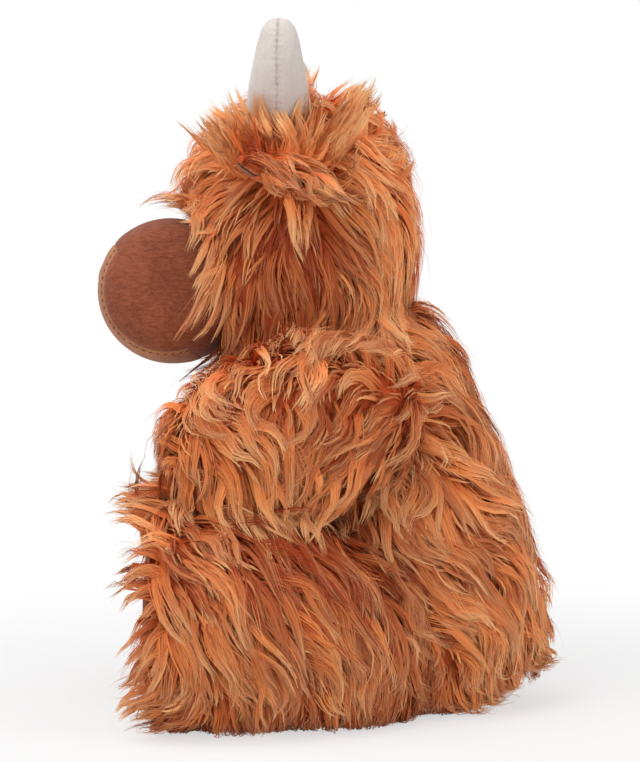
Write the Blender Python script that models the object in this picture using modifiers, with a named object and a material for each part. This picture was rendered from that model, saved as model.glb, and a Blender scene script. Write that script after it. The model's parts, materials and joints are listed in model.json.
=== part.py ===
"""A seated, long-haired plush cow, in metres with +Z up.

The cow faces -Y and its left side is +X. The origin is the middle of the flat seat.
Every skin is a bag of cloth with its stuffing inside. The pile is part of a skin's thickness.
"""

import math

import bmesh
import bpy
from mathutils import Matrix, Vector
from mathutils.bvhtree import BVHTree

# Cloth, thread and the clearances between pieces
touch_gap = 0.0003
fill_gap = 0.0006
pelt = 0.006
velour = 0.0022
horn_cloth = 0.0018
pouch_cloth = 0.0011
thread_radius = 0.0007
seat_cut = 0.0005
overrun = 0.05

# Body: a pear, wide at the seat, with its shoulders leaning forward
body_height = 0.184
body_width = 0.116
body_depth = 0.120
seat_back = 0.005
body_lean = 0.017
neck_radius = 0.042
neck_drop = 0.036
neck_mouth_radius = 0.018

# Head: an egg on the neck, held by one seam round it
head_width = 0.102
head_depth = 0.099
head_height = 0.128
head_forward = 0.033
head_rise = 0.0725

# Muzzle: a drum across the head, with a panel let in over the nose and chin
muzzle_radius = 0.035
muzzle_width = 0.078
muzzle_forward = 0.0615
muzzle_drop = 0.025
panel_width = 0.062
panel_slope_deg = 36.0
nostril_width = 0.011
nostril_height = 0.008
nostril_thick = 0.0012
nostril_spacing = 0.026

# Horns: out of the side of the crown, then up
horn_radius = 0.0158
horn_root_out = 0.028
horn_root_rise = 0.043
horn_forward = 0.0092
horn_out = 0.033
horn_height = 0.0545

# Ears: leaves of two cloths on a seam below each horn
ear_length = 0.050
ear_width = 0.042
ear_thick = 0.0086
ear_forward = 0.0005
ear_rise = 0.026
ear_seat_out = 0.0018
ear_droop_deg = 14.0
ear_tilt_deg = 30.0

# Eyes: domes on posts, locked by a washer inside the skin
eye_radius = 0.0060
eye_bulge = 0.0040
eye_post_radius = 0.0020
eye_post_length = 0.0130
eye_hole_clearance = 0.0004
washer_radius = 0.0070
washer_thick = 0.0016
eye_spacing = 0.050
eye_rise = 0.012

# Arms: hung on flat seats just outside the body's ring at the shoulders, lying on the legs
shoulder_stand_off = 0.00054
shoulder_seat_radius = 0.033
shoulder_out = 0.010
arm_reach = 0.090
arm_width = 0.052
arm_height = 0.066
arm_splay = 0.011
arm_drop = 0.019
arm_rest_gap = 0.0012

# Legs: from the hip seams forward along the floor to flat soles
leg_reach = 0.113
leg_width = 0.090
leg_height = 0.101
leg_splay = 0.018
hip_tuck = 0.012
hip_seam_gap = 0.0008
sole_thick = 0.0025

# Tail: a short tube of fur cloth behind the seat
tail_radius = 0.0045
tail_length = 0.040
tail_root_height = 0.058

# Pellet pouch in the seat
pouch_radius = 0.034
pouch_height = 0.020
pouch_mouth_radius = 0.005

# Closing seam up the back
seam_low = 0.085
seam_length = 0.042
seam_slit = 0.0012
seam_reach = 0.0030
seam_stitches = 14

# Rings round each form, as shares of its sizes
# Body: height, width, depth, lean
body_ring_shares = (
    (0.00, 0.60, 0.62, 0.00),
    (0.10, 0.90, 0.92, 0.00),
    (0.27, 1.00, 1.00, 0.06),
    (0.46, 0.95, 0.94, 0.26),
    (0.64, 0.87, 0.84, 0.62),
    (0.83, 0.84, 0.74, 1.00),
)
shoulder_width_share = body_ring_shares[4][1]
# Head: height from the middle, width, depth
head_ring_shares = (
    (-0.44, 0.50, 0.62),
    (-0.30, 0.84, 0.90),
    (-0.10, 1.00, 1.02),
    (0.12, 1.00, 1.00),
    (0.31, 0.84, 0.82),
    (0.45, 0.50, 0.50),
)
# Muzzle: place across, radius
muzzle_ring_shares = ((-0.50, 0.66), (-0.43, 0.93), (-0.16, 1.00), (0.16, 1.00), (0.43, 0.93), (0.50, 0.66))
panel_start_share = 0.22
# Horn: out, rise, radius
horn_ring_shares = ((0.00, 0.00, 1.00), (0.60, 0.30, 1.02), (0.96, 0.58, 0.78), (1.00, 0.90, 0.60))
horn_root_shares = (-0.25, -0.15)
horn_tip_shares = (0.97, 1.00)
# Ear: place along, width, thickness
ear_ring_shares = ((0.00, 0.62, 0.56), (0.16, 0.86, 0.80), (0.45, 1.00, 1.00), (0.80, 0.72, 0.80))
# Arm: place along, width, height, splay, drop
arm_ring_shares = (
    (-0.16, 0.62, 0.62, 0.00, 0.00),
    (0.06, 1.00, 0.92, 0.05, 0.00),
    (0.34, 0.96, 1.00, 0.75, 0.10),
    (0.65, 1.00, 0.92, 1.00, 0.45),
    (0.88, 0.84, 0.68, 0.90, 0.85),
)
arm_end_shares = (-0.25, 1.00)
# Leg: place along, width, height, splay
leg_ring_shares = (
    (0.00, 0.36, 0.56, 0.00),
    (0.20, 0.80, 0.82, 0.38),
    (0.48, 0.95, 0.94, 0.72),
    (0.76, 1.00, 1.00, 0.95),
    (1.01, 0.98, 0.99, 1.00),
)
leg_end_shares = (-0.10, 1.18)
# Tail: place along, radius
tail_ring_shares = ((0.05, 0.85), (0.55, 1.00), (0.92, 0.80))
# Pouch: height, radius
pouch_ring_shares = ((0.08, 0.82), (0.50, 1.00), (0.92, 0.82))

# Counts and colours
around_large = 10
around_limb = 8
around_small = 6
ball_around = 26
round_steps = 16
sides = {"left": 1, "right": -1}
fur_colour = (0.50, 0.19, 0.06)
velour_colour = (0.36, 0.15, 0.07)
panel_colour = (0.50, 0.25, 0.12)
horn_colour = (0.86, 0.84, 0.82)
fibre_colour = (0.93, 0.93, 0.90)

# Places worked out from the sizes
pelt_core = pelt + fill_gap
shoulder_plane = shoulder_width_share * body_width / 2 + shoulder_stand_off
neck = Vector((0, seat_back - body_lean, body_height - neck_drop))
head_middle = neck + Vector((0, -head_forward, head_rise))
muzzle_middle = head_middle + Vector((0, -muzzle_forward, -muzzle_drop))
panel_slope = math.radians(panel_slope_deg)
panel_direction = Vector((0, -math.cos(panel_slope), -math.sin(panel_slope)))

for old in list(bpy.data.objects):
    bpy.data.objects.remove(old)
for old in list(bpy.data.collections):
    bpy.data.collections.remove(old)
parts = bpy.data.collections.new("plush_cow")
cutters = bpy.data.collections.new("cutters")
for group in (parts, cutters):
    bpy.context.scene.collection.children.link(group)


def material(name, colour, roughness):
    made = bpy.data.materials.new(name)
    made.use_nodes = True
    shader = made.node_tree.nodes["Principled BSDF"]
    shader.inputs["Base Color"].default_value = (*colour, 1)
    shader.inputs["Roughness"].default_value = roughness
    return made


finishes = {
    "fur": material("fur_cloth", fur_colour, 0.9),
    "velour": material("brown_velour", velour_colour, 0.85),
    "panel": material("tan_velour", panel_colour, 0.85),
    "horn": material("white_plush", horn_colour, 0.9),
    "fibre": material("stuffing_fibre", fibre_colour, 0.95),
    "pouch": material("pouch_cloth", (0.85, 0.83, 0.78), 0.9),
    "pellets": material("plastic_pellets", (0.80, 0.82, 0.85), 0.5),
    "eye": material("black_eye", (0.012, 0.010, 0.010), 0.15),
    "washer": material("white_washer", (0.88, 0.88, 0.88), 0.5),
    "thread": material("sewing_thread", (0.24, 0.09, 0.04), 0.8),
}


def add_object(name, bm, finish=None):
    """The mesh as a named object: a part where it has a finish, otherwise a hidden cutter."""
    mesh = bpy.data.meshes.new(name)
    bm.to_mesh(mesh)
    bm.free()
    obj = bpy.data.objects.new(name, mesh)
    if finish:
        mesh.materials.append(finishes[finish])
        mesh.shade_smooth()
        parts.objects.link(obj)
    else:
        obj.hide_render = True
        obj.display_type = "WIRE"
        cutters.objects.link(obj)
    return obj


def ring_cage(rings, first, last, around, side=1):
    """A sphere's rings moved to (middle, half across, half up); side -1 mirrors it to the cow's right."""
    bm = bmesh.new()
    rows = len(rings) + 1
    bmesh.ops.create_uvsphere(bm, u_segments=around, v_segments=rows, radius=1)
    swell = 6 / (4 + 2 * math.cos(2 * math.pi / around))
    for vert in bm.verts:
        row = round(math.acos(max(-1, min(1, vert.co.z))) * rows / math.pi)
        spoke = Vector((vert.co.x, vert.co.y, 0)).normalized() if 0 < row < rows else None
        if spoke is None:
            vert.co = first if row == 0 else last
        else:
            middle, across, up = rings[row - 1]
            vert.co = middle + (across * spoke.x + up * spoke.y) * swell
        vert.co.x *= side
    bmesh.ops.recalc_face_normals(bm, faces=bm.faces)
    if bm.calc_volume(signed=True) < 0:
        bmesh.ops.reverse_faces(bm, faces=bm.faces)
    return bm


def subdivide(obj):
    """Rounds a cage, in triangles, because the cuts need faces that are truly flat."""
    smooth = obj.modifiers.new("rounding", "SUBSURF")
    smooth.levels = smooth.render_levels = 1
    flat = obj.modifiers.new("flat_faces", "TRIANGULATE")
    flat.quad_method = "SHORTEST_DIAGONAL"


def swell_by(obj, distance):
    """Moves the surface outward by a distance, or inward where it is below zero."""
    offset = obj.modifiers.new("offset", "DISPLACE")
    offset.mid_level = 0
    offset.strength = distance


def trim(obj, cutter, operation="DIFFERENCE"):
    boolean = obj.modifiers.new(cutter.name, "BOOLEAN")
    boolean.operation = operation
    boolean.object = cutter


def soft_form(name, cage, finish=None, offset=0):
    """A rounded solid form from a copy of a cage."""
    obj = add_object(name, cage.copy(), finish)
    subdivide(obj)
    if offset:
        swell_by(obj, offset)
    return obj


def skin_form(name, cage, finish, wall):
    """A rounded form hollowed to a wall; what the skin is sewn to cuts its mouth open."""
    skin = soft_form(name, cage, finish)
    trim(skin, soft_form(f"{name}_core", cage, offset=-wall))
    return skin


def surface_of(obj):
    return BVHTree.FromObject(obj, bpy.context.evaluated_depsgraph_get())


def evaluated_points(obj):
    bpy.context.view_layer.update()
    shape = obj.evaluated_get(bpy.context.evaluated_depsgraph_get())
    return [vert.co.copy() for vert in shape.data.vertices]


def shift(cage, by):
    for vert in cage.verts:
        vert.co += by


def rounded_points(cage):
    """The points of the rounded form that a cage makes."""
    probe = soft_form("probe", cage)
    points = evaluated_points(probe)
    bpy.data.objects.remove(probe)
    return points


def height_range(cage):
    heights = [point.z for point in rounded_points(cage)]
    return min(heights), max(heights)


def box_cutter(name, low, high, turn=None, middle=None):
    bm = bmesh.new()
    bmesh.ops.create_cube(bm, size=1)
    for vert in bm.verts:
        vert.co = Vector(high[i] if vert.co[i] > 0 else low[i] for i in range(3))
    if turn:
        bmesh.ops.transform(bm, matrix=turn, verts=bm.verts)
    if middle:
        shift(bm, middle)
    return add_object(name, bm)


def rod(middle, direction, radius, length, steps=round_steps):
    """A cylinder's mesh about its middle, with its length along a direction."""
    bm = bmesh.new()
    bmesh.ops.create_cone(
        bm, cap_ends=True, segments=steps, radius1=radius, radius2=radius, depth=length
    )
    turn = direction.to_track_quat("Z", "Y").to_matrix().to_4x4()
    bmesh.ops.transform(bm, matrix=Matrix.Translation(middle) @ turn, verts=bm.verts)
    return bm


def ball(name, middle, radius):
    bm = bmesh.new()
    bmesh.ops.create_uvsphere(bm, u_segments=ball_around, v_segments=ball_around // 2, radius=radius)
    shift(bm, middle)
    return add_object(name, bm)


def axis_at(name, place, *pieces):
    """An empty on a joint's axis, which carries the moving pieces."""
    empty = bpy.data.objects.new(name, None)
    empty.location = place
    parts.objects.link(empty)
    for piece in pieces:
        piece.parent = empty
        piece.matrix_parent_inverse = Matrix.Translation(-Vector(place))


def mirrored(place, side):
    return Vector((place[0] * side, place[1], place[2]))


# Body cage, lowered so that the floor cuts its seat flat
def body_cage():
    rings = []
    for height, width, depth, lean in body_ring_shares:
        middle = Vector((0, seat_back - lean * body_lean, height * body_height - seat_cut))
        half_width = Vector((width * body_width / 2, 0, 0))
        half_depth = Vector((0, depth * body_depth / 2, 0))
        rings.append((middle, half_width, half_depth))
    bottom = Vector((0, seat_back, -seat_cut))
    top = Vector((0, neck.y, body_height - seat_cut))
    return ring_cage(rings[::-1], top, bottom, around_large)


def head_cage():
    rings = []
    for height, width, depth in head_ring_shares:
        middle = head_middle + Vector((0, 0, height * head_height))
        half_width = Vector((width * head_width / 2, 0, 0))
        half_depth = Vector((0, depth * head_depth / 2, 0))
        rings.append((middle, half_width, half_depth))
    half_height = Vector((0, 0, head_height / 2))
    return ring_cage(rings[::-1], head_middle + half_height, head_middle - half_height, around_large)


body = body_cage()
head = head_cage()
body_form = soft_form("body_form", body)
head_form = soft_form("head_form", head)
head_inside = soft_form("head_inside", head, offset=-pelt)
body_cutter = soft_form("body_cutter", body, offset=touch_gap)
head_cutter = soft_form("head_cutter", head, offset=touch_gap)

# The neck is a ball, so that the head's hollow turns round it in any pose.
# Its flats are nearer its middle than its corners, and the hollow's radius allows for both.
flat_share = math.cos(math.pi / ball_around) ** 2
neck_ball = ball("neck_ball", neck, neck_radius)
neck_core_ball = ball("neck_core_ball", neck, neck_radius - pelt)
neck_fill_ball = ball("neck_fill_ball", neck, neck_radius - pelt_core)
neck_hollow = ball("neck_hollow", neck, (neck_radius + touch_gap) / flat_share)

floor_cutter = box_cutter(
    "floor_cutter", (-overrun * 4, -overrun * 4, -overrun), (overrun * 4, overrun * 4, 0)
)


# Pellet pouch: it lies on the inside of the body's skin
def pouch_cage():
    rings = []
    for height, radius in pouch_ring_shares:
        middle = Vector((0, seat_back, height * pouch_height))
        spoke = radius * pouch_radius
        rings.append((middle, Vector((spoke, 0, 0)), Vector((0, spoke, 0))))
    top = Vector((0, seat_back, pouch_height))
    cage = ring_cage(rings[::-1], top, Vector((0, seat_back, 0)), around_limb)
    bed = pelt - seat_cut + touch_gap
    shift(cage, Vector((0, 0, bed - height_range(cage)[0])))
    return cage


pouch = pouch_cage()


def pouch_recess():
    """The room for the pouch in the stuffing, open at the seat."""
    reach = max(math.hypot(point.x, point.y - seat_back) for point in rounded_points(pouch))
    height = height_range(pouch)[1] + fill_gap
    return rod(Vector((0, seat_back, 0)), Vector((0, 0, 1)), reach + fill_gap, height * 2)


# Legs: the form's underside lies flat, so every ring rests on the floor
def leg_cage(side):
    hip = Vector((body_width / 2, seat_back, 0))
    rings = []
    for along, width, height, splay in leg_ring_shares:
        half_height = height * leg_height / 2
        middle = hip + Vector((splay * leg_splay - hip_tuck, -along * leg_reach, half_height))
        rings.append((middle, Vector((width * leg_width / 2, 0, 0)), Vector((0, 0, half_height))))
    ends = []
    for share, ring in zip(leg_end_shares, (rings[0], rings[-1])):
        ends.append(Vector((ring[0].x, hip.y - share * leg_reach, ring[0].z)))
    return ring_cage(rings, ends[0], ends[1], around_limb, side)


def flat_on_floor(cage):
    lowest, _ = height_range(cage)
    shift(cage, Vector((0, 0, -lowest - seat_cut)))
    return cage


leg_cages = {word: flat_on_floor(leg_cage(side)) for word, side in sides.items()}
leg_top = height_range(leg_cages["left"])[1]


# Arms: the shoulder's height follows from the legs that the arms lie on
def arm_cage(side):
    shoulder = Vector((shoulder_plane + shoulder_out, neck.y, 0))
    rings = []
    for along, width, height, splay, drop in arm_ring_shares:
        middle = shoulder + Vector((splay * arm_splay, -along * arm_reach, -drop * arm_drop))
        half_width = Vector((width * arm_width / 2, 0, 0))
        half_height = Vector((0, 0, height * arm_height / 2))
        rings.append((middle, half_width, half_height))
    ends = []
    for share, ring in zip(arm_end_shares, (rings[0], rings[-1])):
        ends.append(Vector((ring[0].x, shoulder.y - share * arm_reach, ring[0].z)))
    return ring_cage(rings, ends[0], ends[1], around_limb, side)


arm_cages = {word: arm_cage(side) for word, side in sides.items()}
shoulder_height = leg_top + arm_rest_gap - height_range(arm_cages["left"])[0]
for cage in arm_cages.values():
    shift(cage, Vector((0, 0, shoulder_height)))


def shoulder_seat(word):
    """Flattens the body's side round a shoulder."""
    middle = mirrored((shoulder_plane + overrun / 2, neck.y, shoulder_height), sides[word])
    seat = rod(middle, Vector((1, 0, 0)), shoulder_seat_radius, overrun)
    return add_object(f"shoulder_seat_{word}", seat)


def seam_slit_cutter():
    low = (-seam_slit / 2, seat_back, seam_low)
    high = (seam_slit / 2, seat_back + body_depth, seam_low + seam_length)
    return box_cutter("seam_slit_cutter", low, high)


def make_body():
    skin = soft_form("body_skin", body, "fur")
    trim(skin, neck_ball, "UNION")
    trim(skin, floor_cutter)
    core = soft_form("body_core", body, offset=-pelt)
    trim(core, neck_core_ball, "UNION")
    trim(skin, core)
    mouth = rod(neck + Vector((0, 0, neck_radius)), Vector((0, 0, 1)), neck_mouth_radius, neck_radius)
    trim(skin, add_object("neck_mouth_cutter", mouth))
    trim(skin, seam_slit_cutter())
    stuffing = soft_form("body_stuffing", body, "fibre", offset=-pelt_core)
    trim(stuffing, neck_fill_ball, "UNION")
    trim(stuffing, add_object("pouch_recess", pouch_recess()))
    for word in sides:
        seat = shoulder_seat(word)
        trim(skin, seat)
        trim(stuffing, seat)
    return skin


def make_pouch():
    skin = skin_form("pellet_pouch", pouch, "pouch", pouch_cloth)
    mouth_middle = Vector((0, seat_back, height_range(pouch)[1]))
    mouth = rod(mouth_middle, Vector((0, 0, 1)), pouch_mouth_radius, pouch_height)
    trim(skin, add_object("pouch_mouth_cutter", mouth))
    soft_form("pellet_fill", pouch, "pellets", offset=-(pouch_cloth + fill_gap))


def make_closing_seam():
    """Thread that crosses the slit up the back from side to side, lying on the skin."""
    back = surface_of(body_form)
    points = []
    for stitch in range(seam_stitches):
        across = seam_reach if stitch % 2 else -seam_reach
        height = seam_low + seam_length * (stitch + 0.5) / seam_stitches
        start = Vector((across, seat_back + body_depth, height))
        place, normal, _, _ = back.ray_cast(start, Vector((0, -1, 0)))
        points.append(place + normal * (thread_radius + touch_gap * 2))
    curve = bpy.data.curves.new("closing_seam_thread", "CURVE")
    curve.dimensions = "3D"
    curve.bevel_depth = thread_radius
    curve.bevel_resolution = 0
    curve.use_fill_caps = True
    spline = curve.splines.new("POLY")
    spline.points.add(len(points) - 1)
    for point, place in zip(spline.points, points):
        point.co = (*place, 1)
    curve.materials.append(finishes["thread"])
    parts.objects.link(bpy.data.objects.new("closing_seam_thread", curve))


def make_arm(word):
    cage = arm_cages[word]
    side = sides[word]
    skin = skin_form(f"arm_{word}_skin", cage, "fur", pelt)
    stuffing = soft_form(f"arm_{word}_stuffing", cage, "fibre", offset=-pelt_core)
    edge = (shoulder_plane + touch_gap) * side
    far = edge - overrun * side
    low = (min(edge, far), -overrun * 4, -overrun)
    high = (max(edge, far), overrun * 4, overrun * 6)
    body_side = box_cutter(f"body_side_{word}", low, high)
    for piece in (skin, stuffing):
        trim(piece, body_side)
    shoulder = mirrored((shoulder_plane, neck.y, shoulder_height), side)
    axis_at(f"shoulder_{word}_axis", shoulder, skin, stuffing)


def make_leg(word):
    cage = leg_cages[word]
    skin = skin_form(f"leg_{word}_skin", cage, "fur", pelt)
    stuffing = soft_form(f"leg_{word}_stuffing", cage, "fibre", offset=-pelt_core)
    pad = soft_form(f"sole_pad_{word}", cage, "velour")
    wide = overrun * 4
    sole_y = seat_back - leg_reach
    behind_hip = box_cutter(
        f"behind_hip_{word}", (-wide, seat_back - hip_seam_gap, -overrun), (wide, wide, overrun * 4)
    )
    past_sole = box_cutter(
        f"past_sole_{word}", (-wide, -wide, -overrun), (wide, sole_y + sole_thick + touch_gap, overrun * 4)
    )
    sole_slab = box_cutter(
        f"sole_slab_{word}", (-wide, sole_y, -overrun), (wide, sole_y + sole_thick, overrun * 4)
    )
    for piece in (skin, stuffing):
        for cutter in (body_cutter, behind_hip, past_sole):
            trim(piece, cutter)
    trim(skin, floor_cutter)
    trim(pad, sole_slab, "INTERSECT")
    trim(pad, floor_cutter)
    hip = mirrored((body_width / 2, seat_back, leg_height / 2), sides[word])
    axis_at(f"hip_{word}_axis", hip, skin, stuffing, pad)


def make_tail():
    """Hangs behind the rump, its flat inner side just clear of the body's furthest point."""
    rump = max(point.y for point in evaluated_points(body_form))
    line = rump + touch_gap
    rings = []
    for along, radius in tail_ring_shares:
        middle = Vector((0, line + tail_radius / 2, tail_root_height - along * tail_length))
        rings.append((middle, Vector((radius * tail_radius, 0, 0)), Vector((0, radius * tail_radius, 0))))
    top = Vector((0, line + tail_radius / 2, tail_root_height))
    cage = ring_cage(rings, top, top - Vector((0, 0, tail_length)), around_small)
    tail = soft_form("tail", cage, "fur")
    inner_side = box_cutter(
        "tail_inner_side", (-overrun, line - overrun, -overrun), (overrun, line, overrun * 2)
    )
    trim(tail, inner_side)
    axis_at("tail_axis", (0, line, tail_root_height - tail_radius), tail)


def make_muzzle():
    rings = []
    for across, radius in muzzle_ring_shares:
        middle = muzzle_middle + Vector((across * muzzle_width, 0, 0))
        spoke = radius * muzzle_radius
        rings.append((middle, Vector((0, spoke, 0)), Vector((0, 0, spoke))))
    half = Vector((muzzle_width / 2, 0, 0))
    cage = ring_cage(rings, muzzle_middle - half, muzzle_middle + half, around_large)
    skin = skin_form("muzzle_skin", cage, "velour", velour)
    panel = skin_form("muzzle_front_panel", cage, "panel", velour)
    stuffing = soft_form("muzzle_stuffing", cage, "fibre", offset=-(velour + fill_gap))
    turn = panel_direction.to_track_quat("Z", "X").to_matrix().to_4x4()
    start = panel_start_share * muzzle_radius
    window_half = Vector((overrun, panel_width / 2, overrun))
    panel_half = window_half - Vector((0, touch_gap, 0))
    window = box_cutter(
        "panel_window", (-window_half.x, -window_half.y, start), window_half, turn, muzzle_middle
    )
    panel_block = box_cutter(
        "panel_block", (-panel_half.x, -panel_half.y, start + touch_gap), panel_half, turn, muzzle_middle
    )
    trim(skin, window)
    trim(panel, panel_block, "INTERSECT")
    for piece in (skin, panel, stuffing):
        trim(piece, head_cutter)
    return soft_form("muzzle_form", cage)


def make_nostrils(muzzle_form):
    face = surface_of(muzzle_form)
    for word, side in sides.items():
        start = muzzle_middle + Vector((side * nostril_spacing / 2, -muzzle_radius * 2, muzzle_radius / 4))
        place, normal, _, _ = face.ray_cast(start, Vector((0, 1, 0)))
        flat_half = nostril_thick / 2
        bm = rod(place + normal * (flat_half + touch_gap * 2), normal, nostril_height / 2, nostril_thick)
        wide = nostril_width / nostril_height
        bmesh.ops.scale(bm, vec=(wide, 1, 1), verts=bm.verts, space=Matrix.Translation(-place))
        add_object(f"nostril_{word}", bm, "thread")


def make_head():
    skin = skin_form("head_skin", head, "fur", pelt)
    stuffing = soft_form("head_stuffing", head, "fibre", offset=-pelt_core)
    for piece in (skin, stuffing):
        trim(piece, neck_hollow)
    return skin, stuffing


def horn_cage(side):
    root = head_middle + Vector((horn_root_out, -horn_forward, horn_root_rise))

    def place(out, rise):
        return root + Vector((out * horn_out, 0, rise * horn_height))

    stops = [horn_root_shares, *[row[:2] for row in horn_ring_shares], horn_tip_shares]
    path = [place(*stop) for stop in stops]
    rings = []
    for index, (_, _, radius) in enumerate(horn_ring_shares, start=1):
        along = (path[index + 1] - path[index - 1]).normalized()
        ahead = Vector((0, 1, 0)) * radius * horn_radius
        rings.append((path[index], ahead, along.cross(ahead)))
    return ring_cage(rings, path[0], path[-1], around_small, side)


def make_horn(word):
    cage = horn_cage(sides[word])
    skin = skin_form(f"horn_{word}_skin", cage, "horn", horn_cloth)
    stuffing = soft_form(f"horn_{word}_stuffing", cage, "fibre", offset=-(horn_cloth + fill_gap))
    for piece in (skin, stuffing):
        trim(piece, head_cutter)


def make_ear(word, head_skin):
    """Two leaves of cloth; the base is rounded about the ear's axis and sits in a groove of the head."""
    side = sides[word]
    start = head_middle + Vector((0, -ear_forward, ear_rise))
    sideways = Vector((1, 0, 0))
    place, normal, _, _ = surface_of(head_form).ray_cast(start, sideways)
    seat = place + normal * ear_seat_out
    tilt, droop = math.radians(ear_tilt_deg), math.radians(ear_droop_deg)
    chord = Vector((0, math.cos(tilt), -math.sin(tilt)))
    chord = (chord - normal * chord.dot(normal)).normalized()
    outward = (sideways - chord * sideways.dot(chord)).normalized()
    along = outward * math.cos(droop) - outward.cross(chord) * math.sin(droop)
    rings = []
    for share, width, thick in ear_ring_shares:
        middle = seat + along * share * ear_length
        half_thick = along.cross(chord) * thick * ear_thick / 2
        rings.append((middle, chord * width * ear_width / 2, half_thick))
    base_half = ear_ring_shares[0][2] * ear_thick / 2
    cage = ring_cage(rings, seat - along * base_half, seat + along * ear_length, around_limb, side)
    axis_place = mirrored(seat, side)
    axis_way = mirrored(chord, side)
    leaf_normal = mirrored(along.cross(chord), side)
    probe = soft_form(f"ear_form_{word}", cage)
    inner = [p for p in evaluated_points(probe) if (p - axis_place).dot(mirrored(along, side)) < 0]
    reach = max((p - axis_place).cross(axis_way).length for p in inner)
    groove = rod(axis_place, axis_way, reach + touch_gap * 2, ear_width)
    trim(head_skin, add_object(f"ear_groove_{word}", groove))
    turn = leaf_normal.to_track_quat("Z", "Y").to_matrix().to_4x4()
    half_gap = touch_gap / 2
    far = ear_length * 2
    above = box_cutter(f"ear_above_{word}", (-far, -far, half_gap), (far, far, far), turn, axis_place)
    below = box_cutter(f"ear_below_{word}", (-far, -far, -far), (far, far, -half_gap), turn, axis_place)
    outer = soft_form(f"ear_{word}_outer", cage, "fur")
    trim(outer, above, "INTERSECT")
    lining = soft_form(f"ear_{word}_lining", cage, "velour")
    trim(lining, below, "INTERSECT")
    axis_at(f"ear_{word}_axis", axis_place, outer, lining)


def eye_dome(place, normal):
    bm = bmesh.new()
    bmesh.ops.create_uvsphere(bm, u_segments=round_steps, v_segments=round_steps // 2, radius=1)
    below = [vert for vert in bm.verts if vert.co.z < -1 / round_steps]
    bmesh.ops.delete(bm, geom=below, context="VERTS")
    rim = [edge for edge in bm.edges if edge.is_boundary]
    bmesh.ops.contextual_create(bm, geom=rim)
    size = Matrix.Diagonal((eye_radius, eye_radius, eye_bulge, 1))
    turn = normal.to_track_quat("Z", "Y").to_matrix().to_4x4()
    seat = Matrix.Translation(place + normal * touch_gap * 2)
    bmesh.ops.transform(bm, matrix=seat @ turn @ size, verts=bm.verts)
    return bm


def rim_depth(place, normal):
    """How far below a place the inside of the head's skin lies at the washer's rim, where it is furthest."""
    inside = surface_of(head_inside)
    spoke = normal.orthogonal().normalized() * washer_radius
    depths = []
    for step in range(round_steps):
        turn = Matrix.Rotation(2 * math.pi * step / round_steps, 3, normal)
        met, _, _, _ = inside.ray_cast(place + turn @ spoke, -normal)
        depths.append((place - met).dot(normal))
    return max(depths)


def make_eye(word, head_skin, head_stuffing):
    """A dome on a post through the skin, locked by a washer in a pocket of the stuffing."""
    start = head_middle + Vector((sides[word] * eye_spacing / 2, -head_depth, eye_rise))
    place, normal, _, _ = surface_of(head_form).ray_cast(start, Vector((0, 1, 0)))
    eye = add_object(f"eye_{word}", eye_dome(place, normal), "eye")
    post_middle = place - normal * (eye_post_length / 2 - eye_bulge / 2)
    post = rod(post_middle, normal, eye_post_radius, eye_post_length)
    trim(eye, add_object(f"eye_post_{word}", post), "UNION")
    bore = eye_post_radius + eye_hole_clearance
    hole = add_object(f"eye_hole_{word}", rod(post_middle, normal, bore, eye_post_length * 2))
    trim(head_skin, hole)
    washer_middle = place - normal * (rim_depth(place, normal) + touch_gap + washer_thick / 2)
    disc = rod(washer_middle, normal, washer_radius, washer_thick)
    washer = add_object(f"eye_washer_{word}", disc, "washer")
    trim(washer, hole)
    pocket_radius = washer_radius + fill_gap
    pocket_depth = (eye_post_length + fill_gap) * 2
    pocket = add_object(f"eye_pocket_{word}", rod(place, normal, pocket_radius, pocket_depth))
    trim(head_stuffing, pocket)


make_body()
make_pouch()
make_closing_seam()
make_tail()
for leg_word in sides:
    make_leg(leg_word)
    make_arm(leg_word)
skin_of_head, stuffing_of_head = make_head()
muzzle_shape = make_muzzle()
make_nostrils(muzzle_shape)
for ear_word in sides:
    make_horn(ear_word)
    make_eye(ear_word, skin_of_head, stuffing_of_head)
    make_ear(ear_word, skin_of_head)
axis_at("neck_axis", neck)
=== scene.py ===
# %% [markdown]
# A seated, long-haired plush cow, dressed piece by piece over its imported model.
#
# On the real toy every form is a sewn bag of pile cloth over fibre stuffing. So the lesson follows the
# same order: first the stuffed bags, then the pile that grows out of them, and last the short-nap
# pieces such as the muzzle, the ears' linings and the horns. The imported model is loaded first,
# because every piece sits where its solid sits and moves with the body that carries it.

import json
import math

import bmesh
import bpy
import numpy as np
from mathutils import Matrix, Vector
from mathutils.bvhtree import BVHTree


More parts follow.
